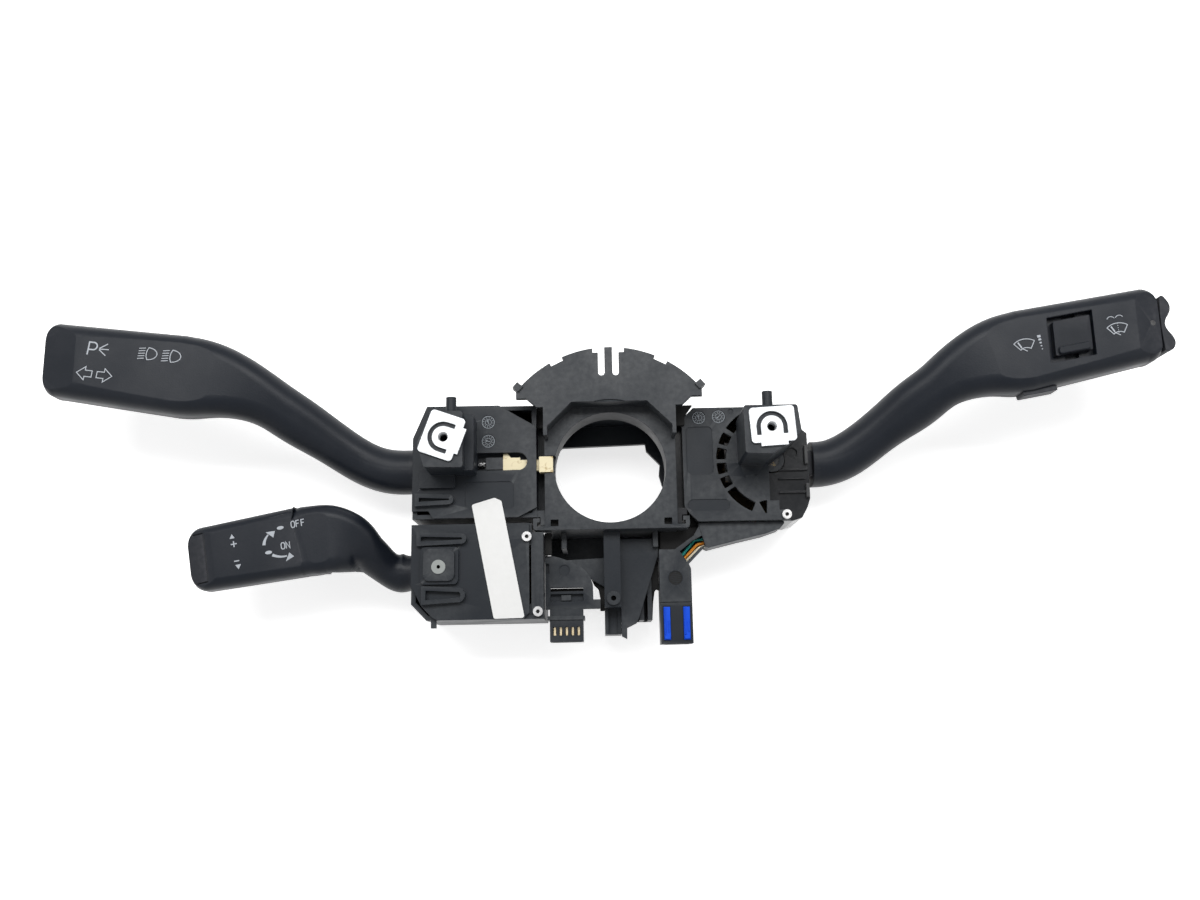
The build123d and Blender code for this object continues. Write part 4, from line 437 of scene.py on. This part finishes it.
class SymbolSheet:
    """Flat printed shapes on one face, drawn in millimetres, right and up."""

    def __init__(self, name, body, slot, origin, angle, height):
        self.mesh = bmesh.new()
        self.name, self.body, self.slot = name, body, slot
        self.place = Matrix.Translation(Vector(origin) * MM) @ Matrix.Rotation(angle, 4, "Z")
        self.height = height

    def patch(self, points):
        """A filled shape, a hair above the one before it."""
        self.height += SHAPE_STEP
        corners = [self.mesh.verts.new((x * MM, y * MM, self.height)) for x, y in points]
        self.mesh.faces.new(corners)

    def disc(self, x, y, rx, ry=None, sides=16):
        """A filled ellipse."""
        ry = rx if ry is None else ry
        self.patch([(x + rx * cos(2 * pi * n / sides), y + ry * sin(2 * pi * n / sides))
                    for n in range(sides)])

    def band(self, rims, closed=False):
        """A strip of faces between two rows of points."""
        self.height += SHAPE_STEP
        rows = [[self.mesh.verts.new((x * MM, y * MM, self.height)) for x, y in rim]
                for rim in rims]
        for a, b in zip(rows, rows[1:] + rows[:1] if closed else rows[1:]):
            self.mesh.faces.new((a[0], a[1], b[1], b[0]))

    def stroke(self, points, width, closed=False):
        """A line of even width with mitred corners."""
        points = [Vector(p) for p in points]
        last = len(points) - 1
        rims = []
        for n, point in enumerate(points):
            before = points[n - 1] if n or closed else None
            after = points[(n + 1) % len(points)] if n < last or closed else None
            into = (point - before).normalized() if before else (after - point).normalized()
            away = (after - point).normalized() if after else into
            across = Vector((-into.y - away.y, into.x + away.x)).normalized()
            reach = width / 2 / max(0.4, across.dot(Vector((-into.y, into.x))))
            rims.append((point + across * reach, point - across * reach))
        self.band([((a.x, a.y), (b.x, b.y)) for a, b in rims], closed)

    def arc(self, x, y, radius, low, high, width, steps=20):
        """Part of a circle, as a line."""
        self.taper(x, y, radius, low, high, width, width, steps)

    def taper(self, x, y, radius, low, high, start, end, steps=20):
        """Part of a circle whose width changes along it."""
        rims = []
        for n in range(steps + 1):
            angle = radians(low + (high - low) * n / steps)
            half = (start + (end - start) * n / steps) / 2
            rims.append([(x + (radius + side * half) * cos(angle),
                          y + (radius + side * half) * sin(angle)) for side in (1, -1)])
        self.band(rims if high < low else [rim[::-1] for rim in rims])

    def done(self, material):
        """Make the object and let it ride."""
        data = bpy.data.meshes.new(self.name)
        self.mesh.normal_update()
        self.mesh.to_mesh(data)
        self.mesh.free()
        data.transform(self.place)
        data.materials.append(material)
        add_piece(self.name, self.body, data)


def ink_material(colour):
    """Printed ink with small faults."""
    return plastic("printed ink", colour, tuple(c * 0.6 for c in colour), 0.5, wear=0.0,
                   dust=0.35, bump=0.2, edge=0.00002)


def lamp_symbol(sheet, x, y, width):
    """Headlamp: a D-shaped lamp with five rays to its left."""
    half, reach = 2.7, 4.2
    bow = [(x + reach * cos(radians(90 - 9 * n)), y + half * sin(radians(90 - 9 * n)))
           for n in range(21)]
    sheet.stroke([(x + 0.2, y + half), *bow[1:-1], (x + 0.2, y - half), (x - 0.35, y - 1.3),
                  (x - 0.5, y), (x - 0.35, y + 1.3)], width, closed=True)
    for n in range(5):
        rise = y + 2.3 - n * 1.15
        sheet.stroke([(x - 4.0, rise - 0.35), (x - 1.15, rise + 0.1)], width * 0.9)


def arrow_symbol(sheet, x, y, way, width):
    """Outlined direction arrow."""
    shape = [(3.5, 0), (-0.1, 3.0), (-0.1, 1.4), (-3.2, 1.4), (-3.2, -1.4), (-0.1, -1.4),
             (-0.1, -3.0)]
    sheet.stroke([(x + way * px, y + py) for px, py in shape], width, closed=True)


def screen_symbol(sheet, x, y, width):
    """Windscreen sector with a wiper blade."""
    low, high, spread, foot = 3.9, 7.8, 36, y - 5.6
    rim = [(high, 90 + spread - 2 * spread * n / 12) for n in range(13)]
    rim += [(low, 90 - spread + 2 * spread * n / 8) for n in range(9)]
    sheet.stroke([(x + r * cos(radians(a)), foot + r * sin(radians(a))) for r, a in rim],
                 width, closed=True)
    c, s = cos(radians(112)), sin(radians(112))
    sheet.stroke([(x + 0.5, foot + 2.2), (x - 0.2 + 4.2 * c, foot + 4.2 * s)], width)
    sheet.stroke([(x + 4.4 * c, foot + 4.4 * s), (x + 7.2 * c, foot + 7.2 * s)], width * 1.8)


class SymbolsOperator(bpy.types.Operator):
    """Print the function symbols on the three paddles"""
    bl_idname = "stalk_switch.symbols"
    bl_label = "Printed symbols"

    def execute(self, context):
        finish = context.scene.switch_finish
        ink = ink_material(finish.print_ink)
        line = 0.36
        self.indicator_symbols(ink, finish.print_height, line)
        self.wiper_symbols(ink, finish.print_height, line)
        self.cruise_symbols(ink, finish.print_height, line)
        return {"FINISHED"}

    def indicator_symbols(self, ink, height, line):
        """Parking light, headlamps and direction arrows."""
        sheet = SymbolSheet("indicator_symbols", "indicator_stalk_body", "white_label",
                            INDICATOR_FACE, INDICATOR_TURN, height)
        sheet.stroke([(-47.6, 1.7), (-47.6, 7.4), (-45.6, 7.4)], 0.6)
        sheet.arc(-45.6, 5.75, 1.65, 90, -90, 0.6)
        sheet.stroke([(-45.6, 4.1), (-47.6, 4.1)], 0.6)
        for end in ((-39.5, 7.4), (-38.6, 4.9), (-39.6, 2.1)):
            start = Vector((-43.2, 4.7)).lerp(Vector(end), 0.10)
            sheet.stroke([start, end], 0.42)
        lamp_symbol(sheet, -21.6, 5.2, line)
        lamp_symbol(sheet, -11.1, 5.3, line)
        arrow_symbol(sheet, -46.9, -6.7, -1, line)
        arrow_symbol(sheet, -38.3, -6.7, 1, line)
        sheet.done(ink)

    def wiper_symbols(self, ink, height, line):
        """Wiper with interval steps, and wiper with washer."""
        sheet = SymbolSheet("wiper_symbols", "wiper_stalk_body", "white_label",
                            WIPER_FACE, WIPER_TURN, height)
        screen_symbol(sheet, 2.4, -0.2, line)
        for n, size in enumerate((1.5, 1.2, 0.95, 0.7, 0.5)):
            y = 2.0 - n * 1.45
            sheet.stroke([(9.4 - size * 0.5, y), (9.4 + size * 0.5, y)], size * 0.7)
        screen_symbol(sheet, 44.0, -0.6, line)
        for n in range(5):
            sheet.disc(44.0 + 0.12 * n, -2.6 + n * 1.0, 0.2, sides=8)
        for way in (-1, 1):
            sheet.arc(44.0 + way * 1.9, 3.0, 1.9, 30 if way > 0 else 150,
                      150 if way > 0 else 30, line * 0.8, steps=8)
        sheet.done(ink)

    def cruise_symbols(self, ink, height, line):
        """Off and on positions, direction arrows, plus and minus."""
        sheet = SymbolSheet("cruise_symbols", "cruise_stalk_body", "white_label",
                            CRUISE_FACE, CRUISE_TURN, height)
        letter_o(sheet, -9.9, 5.0)
        letter_f(sheet, -7.9, 5.0)
        letter_f(sheet, -5.7, 5.0)
        letter_o(sheet, -15.2, -3.4)
        letter_n(sheet, -13.1, -3.4)
        sheet.disc(-15.4, 4.5, 1.5, 0.75)
        sheet.disc(-21.6, -5.1, 1.5, 0.75)
        sheet.taper(-16.6, -2.6, 6.6, 172, 130, 1.4, 0.6)
        sheet.patch([(-17.8, 3.6), (-21.8, 3.7), (-18.8, 0.85)])
        sheet.taper(-15.0, 1.2, 9.2, 236, 276, 1.2, 0.6)
        sheet.patch([(-14.75, -10.2), (-11.1, -8.7), (-12.9, -6.7)])
        sheet.stroke([(-37.1, 1.2), (-34.5, 1.2)], 0.5)
        sheet.stroke([(-35.8, -0.1), (-35.8, 2.5)], 0.5)
        sheet.patch([(-37.3, 3.7), (-35.1, 3.7), (-36.2, 5.6)])
        sheet.stroke([(-36.5, -6.2), (-34.3, -6.2)], 0.5)
        sheet.patch([(-36.2, -7.8), (-35.0, -9.9), (-33.8, -7.8)])
        sheet.done(ink)


def letter_o(sheet, x, y):
    """Letter O."""
    sheet.stroke([(x - 0.75, y - 0.8), (x - 0.35, y - 1.35), (x + 0.35, y - 1.35),
                  (x + 0.75, y - 0.8), (x + 0.75, y + 0.8), (x + 0.35, y + 1.35),
                  (x - 0.35, y + 1.35), (x - 0.75, y + 0.8)], LETTER_LINE, closed=True)


def letter_f(sheet, x, y):
    """Letter F."""
    sheet.stroke([(x - 0.6, y - 1.4), (x - 0.6, y + 1.4), (x + 0.7, y + 1.4)], LETTER_LINE)
    sheet.stroke([(x - 0.6, y + 0.1), (x + 0.5, y + 0.1)], LETTER_LINE)


def letter_n(sheet, x, y):
    """Letter N."""
    sheet.stroke([(x - 0.75, y - 1.4), (x - 0.75, y + 1.4), (x + 0.75, y - 1.4),
                  (x + 0.75, y + 1.4)], LETTER_LINE)


class DateWheelsOperator(bpy.types.Operator):
    """Add the small tick dials that the mould leaves on the covers, in light grey as painted
    highlight
    """
    bl_idname = "stalk_switch.date_wheels"
    bl_label = "Mould dials"

    def execute(self, context):
        # The dials are moulded in the covers' black plastic; their light grey is painted highlight
        # on the raised lines.
        mark = plastic("raised dial painted highlight", (0.30, 0.33, 0.36), (0.4, 0.4, 0.4), 0.35, wear=0.2)
        for number, (x, y, z, turn) in enumerate(MOULD_DIALS):
            sheet = SymbolSheet(f"mould_dial_{number + 1}", "base", "black_plastic", (x, y, z),
                                radians(turn), 0.00012)
            sheet.arc(0, 0, 2.7, 0, 360, 0.22, steps=28)
            sheet.arc(0, 0, 1.35, 0, 360, 0.18, steps=20)
            for n in range(12):
                c, s = cos(radians(30 * n)), sin(radians(30 * n))
                sheet.stroke([(1.8 * c, 1.8 * s), (2.35 * c, 2.35 * s)], 0.2)
            sheet.stroke([(0, -0.9), (0, 0.9)], 0.22)
            sheet.stroke([(-0.45, 0.4), (0, 0.95), (0.45, 0.4)], 0.22)
            sheet.done(mark)
        return {"FINISHED"}


def prism(name, body, material, outline, low, high, edge=0.2):
    """A plate or rib with softened edges, its outline in millimetres."""
    mesh = bmesh.new()
    corners = [mesh.verts.new((x * MM, y * MM, low * MM)) for x, y in outline]
    face = mesh.faces.new(corners)
    grown = bmesh.ops.extrude_face_region(mesh, geom=[face])
    raised = [item for item in grown["geom"] if isinstance(item, bmesh.types.BMVert)]
    bmesh.ops.translate(mesh, verts=raised, vec=(0.0, 0.0, (high - low) * MM))
    bmesh.ops.recalc_face_normals(mesh, faces=mesh.faces)
    bmesh.ops.bevel(mesh, geom=list(mesh.edges), offset=edge * MM, segments=2,
                    affect="EDGES", clamp_overlap=True)
    add_built(name, body, material, mesh)


def bar(x0, x1, y0, y1):
    """Four corners of a rectangle."""
    return [(x0, y0), (x1, y0), (x1, y1), (x0, y1)]


def thread_lining(name, x, y, top, depth, radius, material, pitch=0.8, sides=32):
    """A cut thread: a spiral of ridges on the wall of a hole."""
    mesh = bmesh.new()
    steps = int(depth / pitch * sides)
    rows = []
    for n in range(steps + 1):
        angle = 2 * pi * n / sides
        z = top - pitch * n / sides
        rows.append([mesh.verts.new(((x + r * cos(angle)) * MM, (y + r * sin(angle)) * MM,
                                     (z - drop) * MM))
                     for r, drop in ((radius, 0.0), (radius - 0.38, pitch / 2),
                                     (radius, pitch))])
    for a, b in zip(rows, rows[1:]):
        for n in range(2):
            mesh.faces.new((a[n], a[n + 1], b[n + 1], b[n]))
    add_built(name, "base", material, mesh)


def eased(value):
    """A smooth step from 0 to 1."""
    value = min(1.0, max(0.0, value))
    return value * value * (3.0 - 2.0 * value)


def reshaped_copy(name, node, body, move):
    """A piece that stands for a CAD node, its points moved by a function of millimetres."""
    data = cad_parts[node].data.copy()
    data.name = name
    for vertex in data.vertices:
        vertex.co += Vector(move(*(vertex.co / MM))) * MM
    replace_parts(add_piece(name, body, data), node)


class FittedPiecesOperator(bpy.types.Operator):
    """Spread the wires in the elbow and fill the dip in the cruise stalk's sides"""
    bl_idname = "stalk_switch.fitted_pieces"
    bl_label = "Fitted pieces"

    elbow = (36.6, -34.4)     # middle of the elbow's window
    spread_reach = 13.0       # how far from it the wires are moved
    dip = (-9.4, 12.5)        # where the cruise stalk's sides dip, along the paddle
    ledge = -6.5              # where the dip's upper side is level, along the paddle
    middle = -1.9             # between the two sides, across the paddle

    def execute(self, context):
        for node, step in (("teal_wire", (-0.9, 1.1, 0.0)), ("orange_wire", (0.25, -0.3, 2.5)),
                           ("cream_wire", (1.15, -1.4, 4.9))):
            reshaped_copy(f"{node}_in_elbow", node, "base",
                          lambda x, y, z: self.spread(x, y, step))
        self.measure("cruise_stalk")
        for node in ("cruise_stalk", "cruise_stalk_back"):
            reshaped_copy(f"{node}_blended", node, "cruise_stalk_body",
                          self.fill_dip)
        return {"FINISHED"}

    def spread(self, x, y, step):
        """Sideways step that fades away from the elbow."""
        away = Vector((x - self.elbow[0], y - self.elbow[1])).length
        share = eased(1.35 - away / self.spread_reach)
        return tuple(part * share for part in step)

    def paddle_place(self, x, y):
        """Distance along and across the cruise paddle."""
        along = Vector((cos(CRUISE_TURN), sin(CRUISE_TURN)))
        point = Vector((x, y)) - Vector(CRUISE_FACE[:2])
        return point.dot(along), point.dot(Vector((-along.y, along.x)))

    def measure(self, node):
        """Outline of the stalk's sides between the paddle and the arm, and its taut line."""
        low, high = self.dip
        rows = {}
        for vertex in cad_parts[node].data.vertices:
            u, w = self.paddle_place(vertex.co.x / MM, vertex.co.y / MM)
            if low - 2.0 < u < high + 1.0:
                side = rows.setdefault(round(u), [-99.0, 99.0])
                side[0], side[1] = max(side[0], w), min(side[1], w)
        ledge = rows[round(self.ledge)][0]
        self.sides = []
        for way, column in ((1.0, 0), (-1.0, 1)):
            outer = sorted((u, way * row[column]) for u, row in rows.items())
            taut = []
            for point in outer:
                while len(taut) > 1 and slope(taut[-2], taut[-1]) <= slope(taut[-1], point):
                    taut.pop()
                taut.append(point)
            inner = [(u, min(w, ledge) if column == 0 and u < self.ledge else w)
                     for u, w in outer]
            self.sides.append((way, inner, taut))

    def fill_dip(self, x, y, z):
        """Push the sides out to the taut line where the paddle runs into the arm."""
        u, w = self.paddle_place(x, y)
        if not self.dip[0] < u < self.dip[1]:
            return 0.0, 0.0, 0.0
        way, inner, taut = self.sides[0 if w > self.middle else 1]
        half, reach = way * (w - self.middle), read_line(taut, u) - way * self.middle
        grown = half * reach / (read_line(inner, u) - way * self.middle)
        shift = way * (min(grown, max(reach, half)) - half)
        return -sin(CRUISE_TURN) * shift, cos(CRUISE_TURN) * shift, 0.0


def slope(a, b):
    """Rise over run between two points."""
    return (b[1] - a[1]) / (b[0] - a[0])


def read_line(points, u):
    """Height of a line of points at u."""
    for a, b in zip(points, points[1:]):
        if u <= b[0]:
            return a[1] + slope(a, b) * (u - a[0])
    return points[-1][1]


class SmallFormsOperator(bpy.types.Operator):
    """Add the cut threads, the painted shade in the screw sockets, end ribs, and small webs in
    painted shade
    """
    bl_idname = "stalk_switch.small_forms"
    bl_label = "Small forms"

    def execute(self, context):
        finish = context.scene.switch_finish
        zinc = bpy.data.materials["galvanised sheet"]
        grained = bpy.data.materials["glass filled black"]
        # Near-black plastic for painted shade: the screw sockets, the webs and the connector disc
        # are drawn in it.
        shade = plastic("socket shade", (0.004, 0.004, 0.004), (0.02, 0.02, 0.02), 0.6, wear=0.1)
        for number, (x, y, turn) in enumerate(NUTS):
            thread_lining(f"nut_thread_{number + 1}", x, y, NUT_FRONT, 4.2, 2.08, zinc)
            # A steel ring round each threaded hole: painted shade standing in for the hole's
            # chamfer.
            ring = SymbolSheet(f"nut_ring_painted_shade_{number + 1}", "base", "galvanised",
                               (x, y, NUT_FRONT), radians(turn), finish.print_height)
            ring.arc(0, 0, 2.55, 0, 360, 0.75, steps=40)
            ring.done(bpy.data.materials["plain steel"])
        for number, (x, y, top) in enumerate(SCREW_HEADS):
            # A near-black hex disc 0.7 mm below each screw's top: painted shade inside its socket.
            socket = SymbolSheet(f"screw_socket_painted_shade_{number + 1}", "base", "steel",
                                 (x, y, top - 0.7), 0.0, 0.0)
            socket.disc(0, 0, 1.15, sides=6)
            socket.done(shade)
        self.end_block(finish)
        blue = bpy.data.materials["blue lock"]
        for number, x in enumerate((21.8, 30.3)):
            for part, outline, low, high in (
                    ("hook", bar(x + 0.2, x + 2.6, -74.4, -72.9), -7.8, -6.9),
                    ("spine", bar(x + 0.3, x + 0.9, -72.6, -60.9), -7.8, -7.1),
                    ("step", bar(x + 1.7, x + 2.5, -71.4, -66.2), -7.8, -7.2)):
                prism(f"lock_{part}_{number + 1}", "base", blue, outline, low,
                      high, edge=0.12)
        # The webs are drawn in the near-black shade plastic, darker than the housing plastic they
        # belong to: painted shade.
        self.webs(shade)
        # A near-black disc of painted shade on the connector, with lines of the housing plastic
        # drawn over it.
        mark = SymbolSheet("connector_shade_disc", "base", "black_plastic", (*CONNECTOR_DISC, -8.29),
                           0.3, finish.print_height)
        mark.disc(0, 0, 2.9, sides=28)
        mark.done(shade)
        hatch = SymbolSheet("connector_hatch", "base", "black_plastic",
                            (*CONNECTOR_DISC, -8.26), 0.1, finish.print_height)
        for n in range(-3, 4):
            half = 2.6 * cos(radians(n * 24))
            hatch.stroke([(-half, n * 0.75), (half, n * 0.75)], 0.2)
        hatch.done(grained)
        return {"FINISHED"}

    def end_block(self, finish):
        """Ribs and tabs on the wiper housing's end."""
        smooth = bpy.data.materials["smooth black"]
        # The two end tabs are drawn in a plastic several times lighter than the smooth black of
        # the housing.
        light = plastic("lighter end tab", (0.030, 0.032, 0.035), (0.12, 0.12, 0.12), 0.3, wear=0.6)
        for number, (y0, y1) in enumerate(((1.2, 9.7), (-13.9, -7.4))):
            prism(f"end_tab_{number + 1}", "base", light,
                  bar(86.3, 87.9, y0, y1), -11.2, -7.6)
        for number, y in enumerate((-1.3, -5.2, -11.4)):
            prism(f"end_rib_{number + 1}", "base", smooth,
                  bar(74.5, 86.6, y - 0.35, y + 0.35), -10.2, -8.3, edge=0.12)

    def webs(self, material):
        """Webs of the carrier and bracket behind the front plates, in the given material; here
        that is the near-black painted shade.
        """
        for name, outline, low, high in (
                ("left_hook_web", [(-29.0, 19.0), (-29.4, 28.3), (-35.6, 28.3), (-33.4, 19.0)],
                 -7.0, -5.0),
                ("right_hook_web", [(29.0, 19.0), (33.4, 19.0), (33.4, 23.0), (37.2, 28.3),
                                    (29.4, 28.3)], -7.0, -5.0),
                ("left_window_web", bar(-29.6, -22.6, -26.6, -20.6), -5.4, -3.6),
                ("right_window_web", bar(22.6, 29.6, -26.6, -20.6), -5.4, -3.6),
                ("left_rail_web", bar(-29.4, -26.2, -37.2, -27.5), -9.6, -8.0),
                ("slip_slot_web", bar(-27.6, -11.4, -57.6, -51.4), -14.8, -13.1),
                ("right_rail_web", [(21.2, -37.6), (28.6, -36.6), (34.4, -31.8), (39.6, -27.4),
                                    (37.5, -25.3), (21.2, -27.4)], -14.0, -12.4),
                ("duct_corner_web", [(31.0, -17.6), (34.1, -17.6), (39.3, -22.6), (38.7, -25.7),
                                     (34.3, -25.6), (30.8, -24.0)], -16.0, -14.5),
                ("tail_web", [(18.6, -26.0), (22.6, -26.0), (22.6, -35.4), (20.4, -35.4),
                              (20.4, -52.9), (19.3, -52.3),
                              (18.5, -53.2), (17.7, -58.6), (17.25, -65.6), (17.25, -46.0),
                              (18.6, -40.6)], -18.0, -16.0),
                ("slip_arm_web", [(-9.5, -46.9), (-8.0, -50.1), (-6.2, -51.8), (-5.4, -56.2),
                                  (-5.6, -61.3), (-3.5, -61.3), (-3.1, -50.6), (-6.4, -48.8)],
                 -18.0, -16.0)):
            prism(name, "base", material, outline, low, high)


class StageOperator(bpy.types.Operator):
    """Set up the floor, the lights, the world and the camera"""
    bl_idname = "stalk_switch.stage"
    bl_label = "Stage"

    def execute(self, context):
        stage = context.scene.switch_stage
        low = cad_box[0]
        self.make_floor(stage, low[2] - stage.floor_drop)
        self.make_lights(stage)
        self.make_world(context.scene)
        self.make_camera(context.scene, stage)
        context.scene.view_settings.view_transform = "Standard"
        return {"FINISHED"}

    def make_floor(self, stage, level):
        """A large pale floor that looks white to the camera and keeps its shadow."""
        data = bpy.data.meshes.new("floor")
        mesh = bmesh.new()
        bmesh.ops.create_grid(mesh, x_segments=1, y_segments=1, size=4.0)
        mesh.to_mesh(data)
        mesh.free()
        floor = bpy.data.objects.new("floor", data)
        floor.location.z = level
        bpy.context.scene.collection.objects.link(floor)
        material, tree, shader = new_material("pale floor")
        glow = add_node(tree, "MapRange", {"Value": self.direct_view(tree),
                                           "To Min": stage.floor_glow * FLOOR_FILL_SHARE,
                                           "To Max": stage.floor_glow})
        set_inputs(tree, shader, {"Base Color": rgba(stage.floor), "Roughness": 0.9,
                                  "Specular IOR Level": 0.1,
                                  "Emission Color": (1.0, 1.0, 1.0, 1.0),
                                  "Emission Strength": glow.outputs[0]})
        data.materials.append(material)

    def make_lights(self, stage):
        """One long light overhead, above the top edge, and two weak ones at the sides."""
        for name, place, size, power in (
                ("key", (0.0, 0.42, 0.85), (1.5, 0.36), stage.key),
                ("left fill", (-0.9, -0.2, 0.55), (0.6, 0.6), stage.fill),
                ("right fill", (0.9, -0.1, 0.55), (0.6, 0.6), stage.fill)):
            lamp = bpy.data.lights.new(name, "AREA")
            lamp.shape = "RECTANGLE"
            lamp.size, lamp.size_y = size
            lamp.energy = power
            holder = bpy.data.objects.new(name, lamp)
            holder.location = place
            aim = Vector((0.0, 0.0, 0.0)) - Vector(place)
            holder.rotation_euler = aim.to_track_quat("-Z", "Y").to_euler()
            bpy.context.scene.collection.objects.link(holder)

    def direct_view(self, tree):
        """One where the camera, a reflection or a see-through ray looks, else zero."""
        path = add_node(tree, "LightPath")
        seen = path.outputs["Is Camera Ray"]
        for ray in ("Is Glossy Ray", "Is Transmission Ray"):
            seen = add_node(tree, "Math", {0: seen, 1: path.outputs[ray]},
                            operation="MAXIMUM").outputs[0]
        return seen

    def make_world(self, scene):
        """A plain pale surround, white where the camera or a reflection sees it."""
        world = bpy.data.worlds.new("pale surround")
        scene.world = world
        world.use_nodes = True
        tree = world.node_tree
        strength = add_node(tree, "MapRange", {"Value": self.direct_view(tree),
                                               "To Min": SURROUND_FILL, "To Max": 1.0})
        set_inputs(tree, tree.nodes["Background"], {"Color": (1.0, 1.0, 1.0, 1.0),
                                                    "Strength": strength.outputs[0]})

    def make_camera(self, scene, stage):
        """The photograph's view: nearly along the column, tilted and slightly rolled."""
        tilt, roll = stage.camera_tilt, stage.camera_roll
        forward = Vector((0.0, sin(tilt), -cos(tilt)))
        level = Vector((1.0, 0.0, 0.0))
        rise = Vector((0.0, cos(tilt), sin(tilt)))
        right = level * cos(roll) - rise * sin(roll)
        up = level * sin(roll) + rise * cos(roll)
        pixels = PICTURE_WIDTH * stage.lens / SENSOR_WIDTH
        offset = right * (BORE_OFFSET[0] / pixels) - up * (BORE_OFFSET[1] / pixels) + forward
        place = -offset * stage.camera_distance
        data = bpy.data.cameras.new("photo view")
        data.lens = stage.lens
        data.sensor_width = SENSOR_WIDTH
        data.clip_start = 0.01
        camera = bpy.data.objects.new("photo view", data)
        axes = Matrix((right, up, -forward)).transposed().to_4x4()
        camera.matrix_world = Matrix.Translation(place) @ axes
        scene.collection.objects.link(camera)
        scene.camera = camera


class StalkSwitchPanel(bpy.types.Panel):
    """Steps that dress the stalk switch"""
    bl_idname = "VIEW3D_PT_stalk_switch"
    bl_label = "Stalk Switch"
    bl_space_type = "VIEW_3D"
    bl_region_type = "UI"
    bl_category = "Stalk Switch"

    def draw(self, context):
        finish = context.scene.switch_finish
        for name in SwitchFinish.__annotations__:
            self.layout.prop(finish, name)
        stage = context.scene.switch_stage
        for name in SwitchStage.__annotations__:
            self.layout.prop(stage, name)
        for step in STEPS:
            self.layout.operator(step.bl_idname)


STEPS = (HousingsOperator, StalksOperator, MetalPartsOperator, MechanismOperator,
         WiringOperator, SymbolsOperator, DateWheelsOperator, SmallFormsOperator,
         FittedPiecesOperator, StageOperator)
CLASSES = (SwitchFinish, SwitchStage, *STEPS, StalkSwitchPanel)


def register():
    """Register the classes and hang the settings on the scene."""
    for item in CLASSES:
        bpy.utils.register_class(item)
    bpy.types.Scene.switch_finish = bpy.props.PointerProperty(type=SwitchFinish)
    bpy.types.Scene.switch_stage = bpy.props.PointerProperty(type=SwitchStage)


def unregister():
    """Take the settings and classes away again."""
    del bpy.types.Scene.switch_stage
    del bpy.types.Scene.switch_finish
    for item in reversed(CLASSES):
        bpy.utils.unregister_class(item)


def main():
    """Dress the switch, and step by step."""
    register()
    for step in STEPS:
        prefix, name = step.bl_idname.split(".")
        getattr(getattr(bpy.ops, prefix), name)()


if __name__ == "__main__":
    main()
